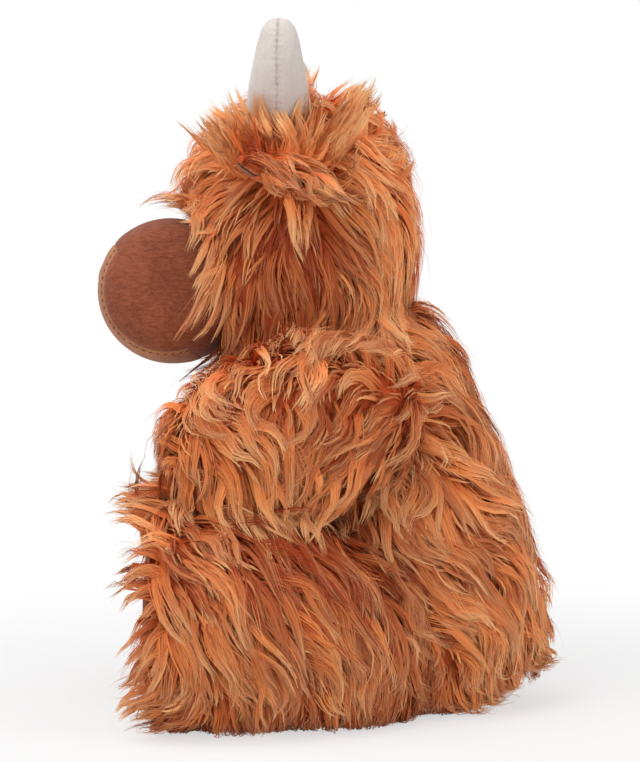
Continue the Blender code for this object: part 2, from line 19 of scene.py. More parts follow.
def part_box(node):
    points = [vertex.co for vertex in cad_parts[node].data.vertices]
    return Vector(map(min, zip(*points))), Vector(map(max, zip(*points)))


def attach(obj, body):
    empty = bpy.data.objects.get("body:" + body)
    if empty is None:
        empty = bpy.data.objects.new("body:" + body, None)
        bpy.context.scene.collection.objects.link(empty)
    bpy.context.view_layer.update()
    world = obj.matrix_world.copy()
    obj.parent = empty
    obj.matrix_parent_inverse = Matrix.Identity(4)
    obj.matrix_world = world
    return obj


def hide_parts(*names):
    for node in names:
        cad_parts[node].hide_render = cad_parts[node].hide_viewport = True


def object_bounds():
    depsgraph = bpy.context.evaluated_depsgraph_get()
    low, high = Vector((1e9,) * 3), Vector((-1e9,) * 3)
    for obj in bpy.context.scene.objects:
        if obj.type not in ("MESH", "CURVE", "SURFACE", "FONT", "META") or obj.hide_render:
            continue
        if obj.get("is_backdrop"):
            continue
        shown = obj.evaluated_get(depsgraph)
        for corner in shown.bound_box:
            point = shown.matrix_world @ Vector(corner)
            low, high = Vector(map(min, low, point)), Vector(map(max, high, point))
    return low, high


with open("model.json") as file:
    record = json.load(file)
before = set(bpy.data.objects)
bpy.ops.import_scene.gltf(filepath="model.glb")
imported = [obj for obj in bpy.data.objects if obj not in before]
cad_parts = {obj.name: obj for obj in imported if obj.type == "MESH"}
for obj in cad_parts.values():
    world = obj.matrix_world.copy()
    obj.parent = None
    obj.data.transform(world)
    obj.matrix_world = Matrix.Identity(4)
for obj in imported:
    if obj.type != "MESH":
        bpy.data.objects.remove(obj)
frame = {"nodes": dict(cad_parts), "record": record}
nodes = frame["nodes"]
cad_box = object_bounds()
SIDES = {"left": 1.0, "right": -1.0}
collection = bpy.context.scene.collection
print("loaded", len(nodes), "nodes", [round(v, 4) for v in cad_box[0]], [round(v, 4) for v in cad_box[1]])

# %% [markdown]
# The camera stands where the photograph was taken from: close to the toy's left side, level with the
# middle of it. That nearness is what hides the far horn behind the near one and makes the near leg
# look large. The photograph is 640 by 762 pixels, so the long side of the picture is its height, and
# the lens is worked out from how much height it takes in at the toy's middle.

# %% Camera
camera_azimuth = math.radians(92.0)
camera_elevation = math.radians(1.19)
camera_distance = 0.925
camera_target = Vector((0.0, -0.0364, 0.1527))
picture_height = 0.3632


def camera_way():
    """From the camera's target towards the camera."""
    level = math.cos(camera_elevation)
    across, along = math.sin(camera_azimuth), -math.cos(camera_azimuth)
    return Vector((across * level, along * level, math.sin(camera_elevation)))


lens = bpy.data.cameras.new("camera")
lens.sensor_width = 36.0
lens.lens = lens.sensor_width * camera_distance / picture_height
lens.clip_start, lens.clip_end = 0.1, 20.0
camera = bpy.data.objects.new("camera", lens)
collection.objects.link(camera)
camera.location = camera_target + camera_way() * camera_distance
camera.rotation_mode = "QUATERNION"
camera.rotation_quaternion = (-camera_way()).to_track_quat("-Z", "Y")
bpy.context.scene.camera = camera
print("lens", round(lens.lens, 1), "mm")


# %% [markdown]
# Every finish below is a few sums on noise and position. Written as separate nodes they would be hard
# to follow, so one small class wraps a socket and lets Python's own signs add the Math nodes.


# %% Shader helper
class Link:
    """A socket that can be used in Python expressions. Each operator adds the Math node it stands for."""

    def __init__(self, tree, socket):
        self.tree, self.socket = tree, socket

    def make(self, kind, settings=None, values=None, output=0):
        """Any node: its settings first, then the values or links of its inputs."""
        node = self.tree.nodes.new(kind)
        for name, value in (settings or {}).items():
            setattr(node, name, value)
        for name, value in (values or {}).items():
            if isinstance(value, Link):
                self.tree.links.new(value.socket, node.inputs[name])
            else:
                node.inputs[name].default_value = value
        return Link(self.tree, node.outputs[output])

    def sum(self, operation, other, swap=False):
        first, second = (other, self) if swap else (self, other)
        return self.make("ShaderNodeMath", {"operation": operation}, {0: first, 1: second})

    def __add__(self, other):
        return self.sum("ADD", other)

    __radd__ = __add__

    def __mul__(self, other):
        return self.sum("MULTIPLY", other)

    __rmul__ = __mul__

    def __sub__(self, other):
        return self.sum("SUBTRACT", other)

    def __rsub__(self, other):
        return self.sum("SUBTRACT", other, swap=True)

    def step(self, low, high):
        """Rises smoothly from 0 at low to 1 at high."""
        settings = {"interpolation_type": "SMOOTHSTEP"}
        return self.make("ShaderNodeMapRange", settings, {"Value": self, "From Min": low, "From Max": high})

    def blend(self, low, high):
        """The colour low where this is 0 and high where it is 1."""
        values = {0: self, 6: pad_colour(low), 7: pad_colour(high)}
        return self.make("ShaderNodeMix", {"data_type": "RGBA"}, values, output=2)

    def noise(self, scale, detail=2.0, roughness=0.5):
        """Noise read at this place, from 0 to 1."""
        values = {"Vector": self, "Scale": scale, "Detail": detail, "Roughness": roughness}
        return self.make("ShaderNodeTexNoise", None, values)


def pad_colour(colour):
    return colour if isinstance(colour, Link) else (*colour[:3], 1.0)


def new_material(name, roughness, **constants):
    """A material with its Principled shader, and a Link to start expressions from."""
    made = bpy.data.materials.new(name)
    made.use_nodes = True
    shader = made.node_tree.nodes["Principled BSDF"]
    shader.inputs["Roughness"].default_value = roughness
    for socket, value in constants.items():
        shader.inputs[socket.replace("_", " ")].default_value = value
    place = Link(made.node_tree, made.node_tree.nodes.new("ShaderNodeTexCoord").outputs["Object"])
    return made, shader, place


def feed(shader, socket, link):
    link.tree.links.new(link.socket, shader.inputs[socket])


def bump(shader, height, strength, distance):
    values = {"Height": height, "Strength": strength, "Distance": distance}
    feed(shader, "Normal", height.make("ShaderNodeBump", None, values))


# %% [markdown]
# The studio is a pale floor, a white world that only the camera sees at full strength, and three large
# soft lamps. Large lamps matter for fur: a small lamp would draw a hard line on every hair. The floor
# stays pale under the toy and keeps its shadow.


# %% Studio
def area_lamp(name, place, aim, size, power):
    lamp = bpy.data.lights.new(name, "AREA")
    lamp.shape = "DISK"
    lamp.size, lamp.energy = size, power
    obj = bpy.data.objects.new(name, lamp)
    collection.objects.link(obj)
    obj.location = place
    obj.rotation_mode = "QUATERNION"
    obj.rotation_quaternion = (Vector(aim) - Vector(place)).to_track_quat("-Z", "Y")


area_lamp("overhead", (0.35, -0.35, 1.45), (0, 0, 0.12), 1.1, 10.5)
area_lamp("front_side", (1.15, -0.95, 0.75), (0, 0, 0.15), 0.9, 5.5)
area_lamp("back_side", (0.75, 1.25, 0.65), (0, 0, 0.15), 0.8, 5.5)

world = bpy.data.worlds.new("studio")
bpy.context.scene.world = world
world.use_nodes = True
tree = world.node_tree
room_light = 0.38
background = tree.nodes["Background"]


def seen_by_eye(tree):
    """1 for the rays that show a surface itself, in the camera, a gloss or a clear thing, and 0 for light."""
    rays = tree.nodes.new("ShaderNodeLightPath")
    seen = Link(tree, rays.outputs["Is Camera Ray"])
    for name in ("Is Glossy Ray", "Is Transmission Ray"):
        seen = seen.sum("MAXIMUM", Link(tree, rays.outputs[name]))
    return seen


seen = seen_by_eye(tree)
background.inputs["Color"].default_value = (1.0, 1.0, 1.0, 1.0)
feed(background, "Strength", seen * (1.0 - room_light) + room_light)

bm = bmesh.new()
bmesh.ops.create_grid(bm, x_segments=1, y_segments=1, size=6.0)
floor_mesh = bpy.data.meshes.new("floor")
bm.to_mesh(floor_mesh)
bm.free()
floor = bpy.data.objects.new("floor", floor_mesh)
collection.objects.link(floor)
floor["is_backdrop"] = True
paper, shader, place = new_material("pale_paper", 0.9)
feed(shader, "Base Color", place.noise(60.0, 3.0).blend((0.93, 0.93, 0.93), (0.95, 0.95, 0.95)))
white = place.make("ShaderNodeEmission", None, {"Strength": 1.0})
away = place.make("ShaderNodeVectorMath", {"operation": "LENGTH"}, {"Vector": place}, 1)
share = seen_by_eye(paper.node_tree) * (away.step(0.14, 0.50) * 0.40 + 0.60)
lit_paper = Link(paper.node_tree, shader.outputs[0])
mixed = place.make("ShaderNodeMixShader", None, {0: share, 1: lit_paper, 2: white})
surface = paper.node_tree.nodes["Material Output"].inputs["Surface"]
paper.node_tree.links.new(mixed.socket, surface)
floor_mesh.materials.append(paper)
bpy.context.scene.view_settings.view_transform = "Standard"
print("studio ready")

# %% [markdown]
# A stuffed bag could be modelled again by hand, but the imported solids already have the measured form.
# The skin is hollow and its stuffing nearly fills it, so the two joined and remeshed with voxels wider
# than the gap between them become one closed bag of small, even faces. What is left inside is dropped.


# %% Stuffed bags
def merged_copy(*names):
    """The meshes of nodes as one bmesh, their loose triangles joined."""
    bm = bmesh.new()
    for name in names:
        bm.from_mesh(nodes[name].data)
    bmesh.ops.remove_doubles(bm, verts=bm.verts, dist=0.00001)
    bm.normal_update()
    return bm


def add_piece(name, bm, finish=None):
    """The bmesh as a smooth shaded object at the origin."""
    mesh = bpy.data.meshes.new(name)
    bm.to_mesh(mesh)
    bm.free()
    obj = bpy.data.objects.new(name, mesh)
    collection.objects.link(obj)
    mesh.shade_smooth()
    if finish:
        mesh.materials.append(finish)
    return obj


def apply_modifiers(obj):
    """Puts an object's modifiers into its mesh."""
    graph = bpy.context.evaluated_depsgraph_get()
    made = bpy.data.meshes.new_from_object(obj.evaluated_get(graph))
    old = obj.data
    finishes = list(old.materials)
    obj.modifiers.clear()
    obj.data = made
    made.name = old.name
    bpy.data.meshes.remove(old)
    made.materials.clear()
    for finish in finishes:
        made.materials.append(finish)
    made.shade_smooth()


def largest_shell(obj):
    """Drops every closed shell but the one with the most faces."""
    bm = bmesh.new()
    bm.from_mesh(obj.data)
    left, shells = set(bm.verts), []
    while left:
        shell, edge = set(), [left.pop()]
        while edge:
            vert = edge.pop()
            shell.add(vert)
            near = [link.other_vert(vert) for link in vert.link_edges]
            edge += [other for other in near if other in left]
            left.difference_update(near)
        shells.append(shell)
    keep = max(shells, key=len)
    bmesh.ops.delete(bm, geom=[vert for vert in bm.verts if vert not in keep], context="VERTS")
    bm.to_mesh(obj.data)
    bm.free()


def remesh(obj, voxel, passes=4):
    """Even small faces over a closed form, then a light smoothing that takes out the voxel steps."""
    even = obj.modifiers.new("even faces", "REMESH")
    even.mode = "VOXEL"
    even.voxel_size = voxel
    apply_modifiers(obj)
    largest_shell(obj)
    ease = obj.modifiers.new("ease", "SMOOTH")
    ease.factor, ease.iterations = 0.5, passes
    apply_modifiers(obj)


def coordinates(mesh):
    flat = np.empty(len(mesh.vertices) * 3, np.float32)
    mesh.vertices.foreach_get("co", flat)
    return flat.reshape(-1, 3).astype(float)


# %% [markdown]
# Under the pile there is a knitted backing with a short, dense underlayer. It shows only deep between the
# locks, where shade falls on it, so a rough, tufted rust surface does for it. Its strong red is painted
# light: like the pile's roots, it stands in for light that goes from hair to hair and grows redder.

# %% Underlayer finish
underlayer, shader, place = new_material("fur_underlayer", 0.95)
tufts = place.noise(420.0, 3.0, 0.6)
patches = place.noise(60.0, 2.0)
mixed = (tufts * 0.6 + patches * 0.4).step(0.3, 0.7)
# Strong red: painted light for the light scattered between the hairs.
feed(shader, "Base Color", mixed.blend((0.52, 0.070, 0.011), (0.68, 0.130, 0.026)))
bump(shader, tufts, 0.8, 0.0012)

# %% [markdown]
# Velour is a knitted cloth with a nap about a millimetre high. The nap falls in small tufts that lean
# different ways, so it looks mottled: pale where the fibre tips face the eye and dark where they lean
# away. That mottling is painted into the colour as highlight and shade: noise about two millimetres wide
# drives both the colour and the bump, and finer noise on top gives the single fibres. A soft sheen gives
# the pale edge that velour has where it turns away.


# %% Velour finishes
def velour(name, dark, light, size=1.0, sheen=0.16):
    made, shader, place = new_material(name, 0.85, Sheen_Weight=sheen, Sheen_Roughness=0.45)
    laid = place.make("ShaderNodeMapping", None, {"Vector": place, "Scale": (1.0, 0.40, 1.25)})
    tufts = laid.noise(620.0 / size, 2.0, 0.55)
    fibres = laid.noise(1800.0 / size, 2.0, 0.6)
    clouds = place.noise(48.0, 2.0)
    mixed = tufts * 0.36 + fibres * 0.34 + clouds * 0.30
    # Colour from the nap noise: painted highlight where the nap faces the eye, painted shade where it leans away.
    feed(shader, "Base Color", mixed.step(0.36, 0.64).blend(dark, light))
    bump(shader, tufts * 0.6 + fibres * 0.4, 0.85, 0.0009)
    return made


brown_velour = velour("brown_velour", (0.180, 0.035, 0.010), (0.348, 0.090, 0.032))
tan_velour = velour("tan_velour", (0.350, 0.122, 0.050), (0.560, 0.235, 0.108))
ear_velour = velour("ear_velour", (0.200, 0.060, 0.028), (0.370, 0.145, 0.080), size=0.8, sheen=0.02)

# %% Bags of pile cloth
BAGS = {"body": 0.0045, "head": 0.0040, "arm_left": 0.0035, "arm_right": 0.0035}
BAGS.update({"leg_left": 0.0040, "leg_right": 0.0040})
BAGS.update({"ear_left": 0.0011, "ear_right": 0.0011, "tail": 0.0018})
pelts = {}
for body, voxel in BAGS.items():
    kind = body.split("_")[0]
    solids = {"ear": [f"{body}_outer"], "tail": ["tail"]}.get(kind, [f"{body}_skin", f"{body}_stuffing"])
    pelt = add_piece(f"pelt_{body}", merged_copy(*solids), underlayer)
    remesh(pelt, voxel)
    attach(pelt, body)
    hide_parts(*solids)
    pelts[body] = pelt
    places = coordinates(pelt.data)
    print("bag", body, len(pelt.data.polygons), "faces", places.min(0).round(4), places.max(0).round(4))

# %% [markdown]
# The front half of each ear's rim shows a bare velour edge, where the lining is rolled over the pile cloth.
# Those faces of the bag get the lining's finish, and no pile grows on them.

# %% Rolled edge of the ears
for word in SIDES:
    mesh = pelts[f"ear_{word}"].data
    mesh.materials.append(ear_velour)
    places = coordinates(mesh)
    middle, half = (places.min(0) + places.max(0)) / 2, (places.max(0) - places.min(0)) / 2
    for face in mesh.polygons:
        x, y = ((face.center[axis] - middle[axis]) / half[axis] for axis in (0, 1))
        face.material_index = int(x * x + y * y > 0.50 and y < 0.20 and face.normal.z < 0.6)
    print("rolled edge", word, sum(face.material_index for face in mesh.polygons), "faces")

# %% [markdown]
# Long pile is what makes this toy. Blender's own hair curves would be the first thought, but a hair
# object isn't a mesh, and this model has to leave as meshes. So each hair is a narrow ribbon, cut from
# one bmesh grid and laid along a path. Real pile doesn't stand as single hairs either: static and
# handling gather it into locks that taper to a point. So the paths are worked out lock by lock, and
# then each lock is filled with hairs that draw together towards its tip.
#
# First comes what the locks lie on: the bags, and the smooth pieces that the pile hangs over.


# %% What the locks lie on
def search_tree(objects):
    """One search tree over the faces of several objects."""
    points, faces = [], []
    for obj in objects:
        start = len(points)
        points += [vert.co.copy() for vert in obj.data.vertices]
        faces += [[start + index for index in face.vertices] for face in obj.data.polygons]
    return BVHTree.FromPolygons(points, faces)


def nearest(tree, points):
    """The nearest place on a surface to each point, and the surface's outward direction there."""
    places, outs = np.empty_like(points), np.empty_like(points)
    for index, point in enumerate(points):
        place, out, _, _ = tree.find_nearest(point)
        places[index], outs[index] = place, out
    return places, outs


BARE = ("muzzle_skin", "muzzle_front", "horn_left_skin", "horn_right_skin")
BARE += ("ear_left_lining", "ear_right_lining")
smooth_nodes = [nodes[name] for name in nodes if name.startswith(BARE)]
lying = search_tree([*pelts.values(), *smooth_nodes])
others = {}
for body in pelts:
    apart = [pelt for other, pelt in pelts.items() if other != body]
    others[body] = search_tree([*apart, *smooth_nodes])
print("search trees over", len(pelts) + len(smooth_nodes), "surfaces")

# %% [markdown]
# The comb table says how the pile lies. Each row is a place on a bag, in millimetres, the way the pile is
# brushed there, and what a lock is like: its length, how high it lies over the bag, how upright its root
# is, how pale it is, how much it curls and how much the brushed way swirls. The paleness is mostly the
# pile's own tone, but the low tones under the ear, in the fold of the arm and on the top of the leg under
# the arm are painted shade. Between the rows everything is blended by distance. The rows are for the
# toy's left side, and its right side mirrors them.

# %% Comb table
COMB_COLUMNS = ("length", "height", "lift", "tone", "curl", "swirl")
COMB = {
    "head": (
        ((0, -45, 282), (0, -0.6, 0.3), (28, 12, 0.70, 0.82, 1.0, 0.8)),
        ((0, -14, 272), (0, 0.7, 0.3), (26, 10, 0.70, 0.75, 1.5, 1.0)),
        ((30, -18, 264), (0.3, 0.7, 0.1), (27, 10, 0.65, 0.90, 2.0, 1.2)),
        ((30, -50, 276), (0.3, -0.5, 0.6), (26, 10, 0.80, 0.92, 1.0, 0.4)),
        ((50, -50, 262), (0.5, -0.5, 0.6), (28, 12, 0.75, 0.92, 1.0, 0.4)),
        ((42, -80, 262), (0.2, -0.95, 0.1), (32, 14, 0.70, 0.84, 1.0, 0.4)),
        ((20, -88, 262), (0, -0.95, -0.2), (28, 15, 0.65, 0.78, 1.0, 0.4)),
        ((0, -92, 250), (0, -0.5, -0.9), (30, 15, 0.65, 0.66, 1.0, 0.4)),
        ((25, -92, 240), (0.1, -0.45, -0.9), (30, 13, 0.60, 0.62, 1.0, 0.4)),
        ((30, -92, 225), (0.3, -0.4, -0.9), (28, 10, 0.45, 0.55, 1.0, 0.3)),
        ((45, -78, 238), (0.1, -0.7, -0.75), (44, 9, 0.45, 0.55, 1.0, 0.4)),
        ((46, -80, 205), (0, -0.8, -0.75), (46, 8, 0.35, 0.42, 1.0, 0.4)),
        ((48, -36, 262), (0.2, 0.7, -0.1), (28, 10, 0.60, 0.88, 2.5, 1.2)),
        ((48, -58, 248), (0.1, -0.7, -0.5), (34, 6, 0.35, 0.54, 1.5, 0.5)),
        # These four rows under the ear have low tones: painted shade of the ear over the cheek.
        ((50, -64, 215), (0, -0.35, -0.95), (48, 6, 0.30, 0.34, 1.5, 0.3)),
        ((51, -52, 230), (0, -0.05, -1), (48, 2, 0.20, 0.06, 1.0, 0.2)),
        ((50, -38, 230), (0, 0.30, -0.95), (48, 2, 0.20, 0.08, 1.0, 0.2)),
        ((50, -45, 212), (0, 0.1, -1), (48, 4, 0.25, 0.08, 1.5, 0.3)),
        ((50, -45, 195), (0, 0.1, -1), (48, 6, 0.30, 0.42, 1.5, 0.3)),
        ((47, -15, 240), (0, 0.6, -0.8), (40, 6, 0.35, 0.92, 1.5, 0.5)),
        ((48, -20, 205), (0, 0.55, -0.85), (44, 6, 0.30, 0.72, 2.0, 0.5)),
        ((35, 0, 240), (0, 0.35, -0.95), (36, 6, 0.35, 1.05, 1.0, 0.4)),
        ((0, 3, 250), (0, 0.3, -0.95), (34, 6, 0.35, 1.05, 1.0, 0.5)),
        ((0, 5, 215), (0, 0.25, -0.97), (38, 6, 0.30, 1.0, 1.0, 0.5)),
        ((30, 0, 200), (0, 0.3, -0.95), (40, 6, 0.30, 0.84, 1.5, 0.5)),
        ((45, -35, 185), (0, 0.1, -1), (42, 6, 0.30, 0.50, 2.0, 0.5)),
        ((35, -78, 182), (0, -0.5, -0.9), (40, 11, 0.45, 0.48, 1.5, 0.5)),
        ((0, -80, 175), (0, -0.45, -0.9), (34, 9, 0.45, 0.42, 1.0, 0.5)),
    ),
    "body": (
        ((0, -12, 184), (0, 0.5, -0.3), (26, 5, 0.30, 0.50, 1.0, 0.5)),
        ((0, 30, 160), (0, 0.4, -0.9), (36, 6, 0.30, 0.62, 1.5, 0.5)),
        ((0, 50, 120), (0, 0.35, -0.95), (38, 7, 0.30, 0.62, 1.5, 0.5)),
        ((0, 62, 80), (0, 0.2, -1), (38, 7, 0.30, 0.72, 1.5, 0.6)),
        ((0, 64, 45), (0, 0.5, -0.85), (34, 7, 0.35, 0.72, 2.0, 0.6)),
        ((0, 58, 15), (0, 0.95, -0.25), (20, 5, 0.45, 0.72, 2.0, 0.6)),
        ((40, 40, 120), (0.1, 0.45, -0.85), (42, 7, 0.35, 0.74, 3.5, 1.3)),
        ((50, 25, 110), (0, 0.6, -0.75), (44, 7, 0.35, 0.55, 4.5, 1.2)),
        ((50, 5, 150), (0, 0.7, -0.6), (42, 7, 0.40, 0.55, 4.0, 1.2)),
        ((55, 15, 80), (0, 0.55, -0.8), (46, 7, 0.30, 0.45, 4.5, 1.0)),
        ((54, 30, 60), (0, 0.6, -0.8), (44, 7, 0.30, 0.64, 4.0, 0.8)),
        ((48, 40, 30), (0.1, 0.6, -0.75), (34, 7, 0.35, 0.62, 3.0, 0.7)),
        ((40, 45, 10), (0.2, 0.8, -0.4), (22, 5, 0.40, 0.50, 2.0, 0.6)),
        ((55, 0, 20), (0, 0.2, -1), (30, 5, 0.30, 0.40, 2.0, 0.5)),
        ((0, -55, 120), (0, -0.1, -1), (38, 6, 0.30, 0.45, 2.0, 0.6)),
        ((40, -40, 120), (0, -0.1, -1), (38, 6, 0.30, 0.40, 2.0, 0.6)),
        ((0, -56, 60), (0, -0.1, -1), (30, 5, 0.30, 0.40, 2.0, 0.6)),
    ),
    "arm": (
        ((75, 2, 160), (0.4, -0.5, -0.3), (30, 9, 0.60, 0.58, 4.0, 1.3)),
        ((75, -40, 168), (0.6, -0.5, -0.3), (28, 9, 0.65, 0.64, 4.0, 1.5)),
        ((75, -75, 155), (0.5, -0.7, -0.4), (28, 8, 0.60, 0.64, 4.0, 1.4)),
        ((75, -97, 132), (0.1, -0.6, -0.7), (30, 7, 0.50, 0.58, 4.0, 1.0)),
        ((94, -20, 158), (0.2, -0.4, -0.7), (28, 9, 0.60, 0.58, 4.0, 1.5)),
        ((94, -55, 158), (0.2, -0.5, -0.7), (28, 9, 0.60, 0.60, 4.0, 1.4)),
        # These two rows have low tones: painted shade in the fold of the arm.
        ((96, -20, 144), (0.1, -0.2, -0.9), (34, 4, 0.30, 0.20, 4.0, 0.8)),
        ((96, -60, 144), (0.1, 0.1, -0.9), (34, 4, 0.30, 0.22, 4.0, 0.8)),
        ((96, -5, 135), (0, -0.35, -0.95), (44, 6, 0.30, 0.48, 5.0, 0.6)),
        ((96, -25, 130), (0, -0.2, -1), (46, 7, 0.30, 0.58, 5.0, 0.6)),
        ((96, -50, 130), (0, 0.2, -1), (46, 7, 0.30, 0.60, 5.0, 0.6)),
        ((94, -70, 128), (0, 0.4, -0.93), (44, 7, 0.30, 0.60, 4.0, 0.6)),
        ((88, -90, 120), (0, 0.3, -0.95), (40, 6, 0.30, 0.55, 4.0, 0.6)),
        ((90, -40, 108), (0.1, 0.1, -1), (44, 6, 0.25, 0.92, 3.0, 0.4)),
        ((60, -50, 102), (0.3, 0, -1), (26, 4, 0.30, 0.40, 2.0, 0.5)),
    ),
    "leg": (
        # Low tones in the first two rows and at (95, -45, 80): painted shadow of the arm on the leg's top.
        ((60, -60, 99), (0.6, 0.3, -0.4), (40, 5, 0.30, 0.05, 3.0, 0.6)),
        ((88, -72, 86), (0.3, 0.6, -0.6), (44, 6, 0.30, 0.10, 4.0, 0.6)),
        ((60, -95, 97), (0.4, -0.2, 0.1), (34, 7, 0.55, 0.58, 3.0, 0.8)),
        ((95, -85, 78), (0.1, 0.55, -0.85), (46, 7, 0.35, 0.44, 4.0, 0.6)),
        ((95, -45, 80), (0.1, 0.85, -0.5), (46, 6, 0.35, 0.22, 4.0, 0.6)),
        ((105, -50, 60), (0, 0.6, -0.8), (46, 6, 0.30, 0.48, 3.0, 0.6)),
        ((103, -20, 45), (0, 0.45, -0.85), (44, 5, 0.30, 0.45, 3.0, 0.6)),
        ((100, -95, 60), (0, 0.1, -1), (44, 6, 0.35, 0.50, 3.0, 0.5)),
        ((100, -100, 30), (0, -0.35, -0.9), (36, 6, 0.40, 0.55, 3.0, 0.6)),
        ((100, -60, 15), (0.2, 0.15, -1), (28, 5, 0.35, 0.52, 2.5, 0.6)),
        ((95, -15, 20), (0.2, 0.3, -0.95), (30, 5, 0.35, 0.45, 2.5, 0.6)),
        ((30, -60, 95), (-0.1, 0, -1), (30, 5, 0.30, 0.40, 2.0, 0.6)),
        ((18, -60, 50), (0, -0.1, -1), (28, 4, 0.30, 0.35, 2.0, 0.6)),
        ((20, -100, 60), (-0.3, -0.5, -0.6), (30, 6, 0.40, 0.50, 2.0, 0.6)),
    ),
    "ear": (
        ((50, -58, 252), (0.4, 0.9, 0.2), (30, 6, 0.35, 0.60, 2.0, 0.4)),
        ((70, -52, 247), (0.4, 0.9, 0.1), (32, 6, 0.35, 0.60, 2.0, 0.4)),
        ((70, -38, 243), (0.2, 0.7, -0.7), (34, 5, 0.30, 0.42, 2.0, 0.4)),
        ((90, -42, 238), (0.2, 0.6, -0.8), (26, 3, 0.30, 0.44, 2.0, 0.3)),
        ((66, -68, 246), (0.3, 1.0, 0.3), (24, 4, 0.20, 0.50, 2.0, 0.3)),
    ),
    "tail": (
        ((0, 64, 55), (0, 0.5, -0.6), (24, 5, 0.40, 0.60, 2.0, 0.5)),
        ((0, 66, 22), (0, 0.6, -0.8), (20, 4, 0.40, 0.65, 2.0, 0.5)),
    ),
}


def comb_arrays(rows, body, side=0):
    """The rows as arrays, moved onto the bag. The head and the body take their mirror image too."""
    places, ways, habits = (np.array([row[part] for row in rows], float) for part in range(3))
    if side < 0 or body.endswith("right"):
        places[:, 0] *= -1
        ways[:, 0] *= -1
    if body in ("head", "body") and not side:
        mirror = np.array((-1.0, 1.0, 1.0))
        places = np.vstack([places, places * mirror])
        ways = np.vstack([ways, ways * mirror])
        habits = np.vstack([habits, habits])
    return nearest(search_tree([pelts[body]]), places / 1000)[0], ways, habits


def combed(table, points, softness=0.008):
    """The brushed way and the lock's habits at each point, blended from the nearest rows."""
    places, ways, habits = table
    apart = ((points[:, None] - places[None]) ** 2).sum(-1) + softness**2
    weight = apart**-1.75
    weight /= weight.sum(1, keepdims=True)
    return weight @ ways, weight @ habits


# %% [markdown]
# Roots are scattered over a bag at an even spacing: points are thrown at it at random, and one that
# lands too close to an earlier one is thrown away. A root that lies against another piece, or under the
# seat, would never be seen, so most of those are left out.


# %% Scattered roots
def unit(ways):
    return ways / np.maximum(np.linalg.norm(ways, axis=-1, keepdims=True), 1e-9)


def scatter(obj, spacing, luck):
    """Random places on an object, no two nearer than the spacing, with the outward directions there."""
    mesh = obj.data
    mesh.calc_loop_triangles()
    corners = np.array([tri.vertices for tri in mesh.loop_triangles if tri.material_index == 0])
    points = coordinates(mesh)
    outs = np.array([vert.normal for vert in mesh.vertices])
    first, second, third = (points[corners[:, part]] for part in range(3))
    areas = np.linalg.norm(np.cross(second - first, third - first), axis=1) / 2
    throws = int(areas.sum() / spacing**2 * 5)
    picked = luck.choice(len(corners), throws, p=areas / areas.sum())
    share = np.sort(luck.random((throws, 2)), axis=1)
    shares = np.stack([share[:, 0], share[:, 1] - share[:, 0], 1 - share[:, 1]], axis=1)
    thrown = (points[corners[picked]] * shares[..., None]).sum(1)
    ways = (outs[corners[picked]] * shares[..., None]).sum(1)
    taken, kept = {}, []
    nearby = [(i, j, k) for i in (-1, 0, 1) for j in (-1, 0, 1) for k in (-1, 0, 1)]
    cells = np.floor(thrown / spacing).astype(int).tolist()
    listed = thrown.tolist()
    for index, (x, y, z) in enumerate(cells):
        here = listed[index]
        close = [other for i, j, k in nearby for other in taken.get((x + i, y + j, z + k), ())]
        if all(math.dist(here, listed[other]) >= spacing for other in close):
            taken.setdefault((x, y, z), []).append(index)
            kept.append(index)
    return thrown[kept], unit(ways[kept])


def in_the_open(body, roots, outs, luck, share=0.35):
    """Which roots can be seen; a share of the covered ones stays, for the poses that bare them."""
    places, ways = nearest(others[body], roots)
    gap = np.linalg.norm(roots - places, axis=1)
    inside = (gap < 0.0003) | (((roots - places) * ways).sum(1) < -0.5 * gap)
    seat = (roots[:, 2] < 0.005) & (outs[:, 2] < -0.5)
    sole = body.startswith("leg") & (outs[:, 1] < -0.75)
    return ~inside & ~seat & ~sole & ((gap > 0.0025) | (luck.random(len(roots)) < share))


# %% [markdown]
# A lock's path is walked in short steps. It leaves the root partly upright, bends over to the combed way,
# is drawn down a little by its weight, and is lifted wherever it would sink into a surface. A slow
# ripple turns the combed way left and right over a few centimetres, as handled fur is never straight.

# %% Paths of the locks
STEPS = 8
WIDEST = cad_box[1].x + 0.0065
RIPPLE_WAYS = np.array([(0.8, 0.5, 0.33), (-0.41, 0.77, 0.49), (0.35, -0.6, 0.72), (0.63, 0.2, -0.75)])
RIPPLE_RATES = np.array((1.0, 1.3, 0.8, 1.9))


def ripple(points, length, phase):
    """A smooth number, about -1 to 1, that changes over a length."""
    turns = points @ RIPPLE_WAYS.T * RIPPLE_RATES * 2 * math.pi / length
    return np.sin(turns + phase + RIPPLE_RATES * 3).mean(-1) * 1.6


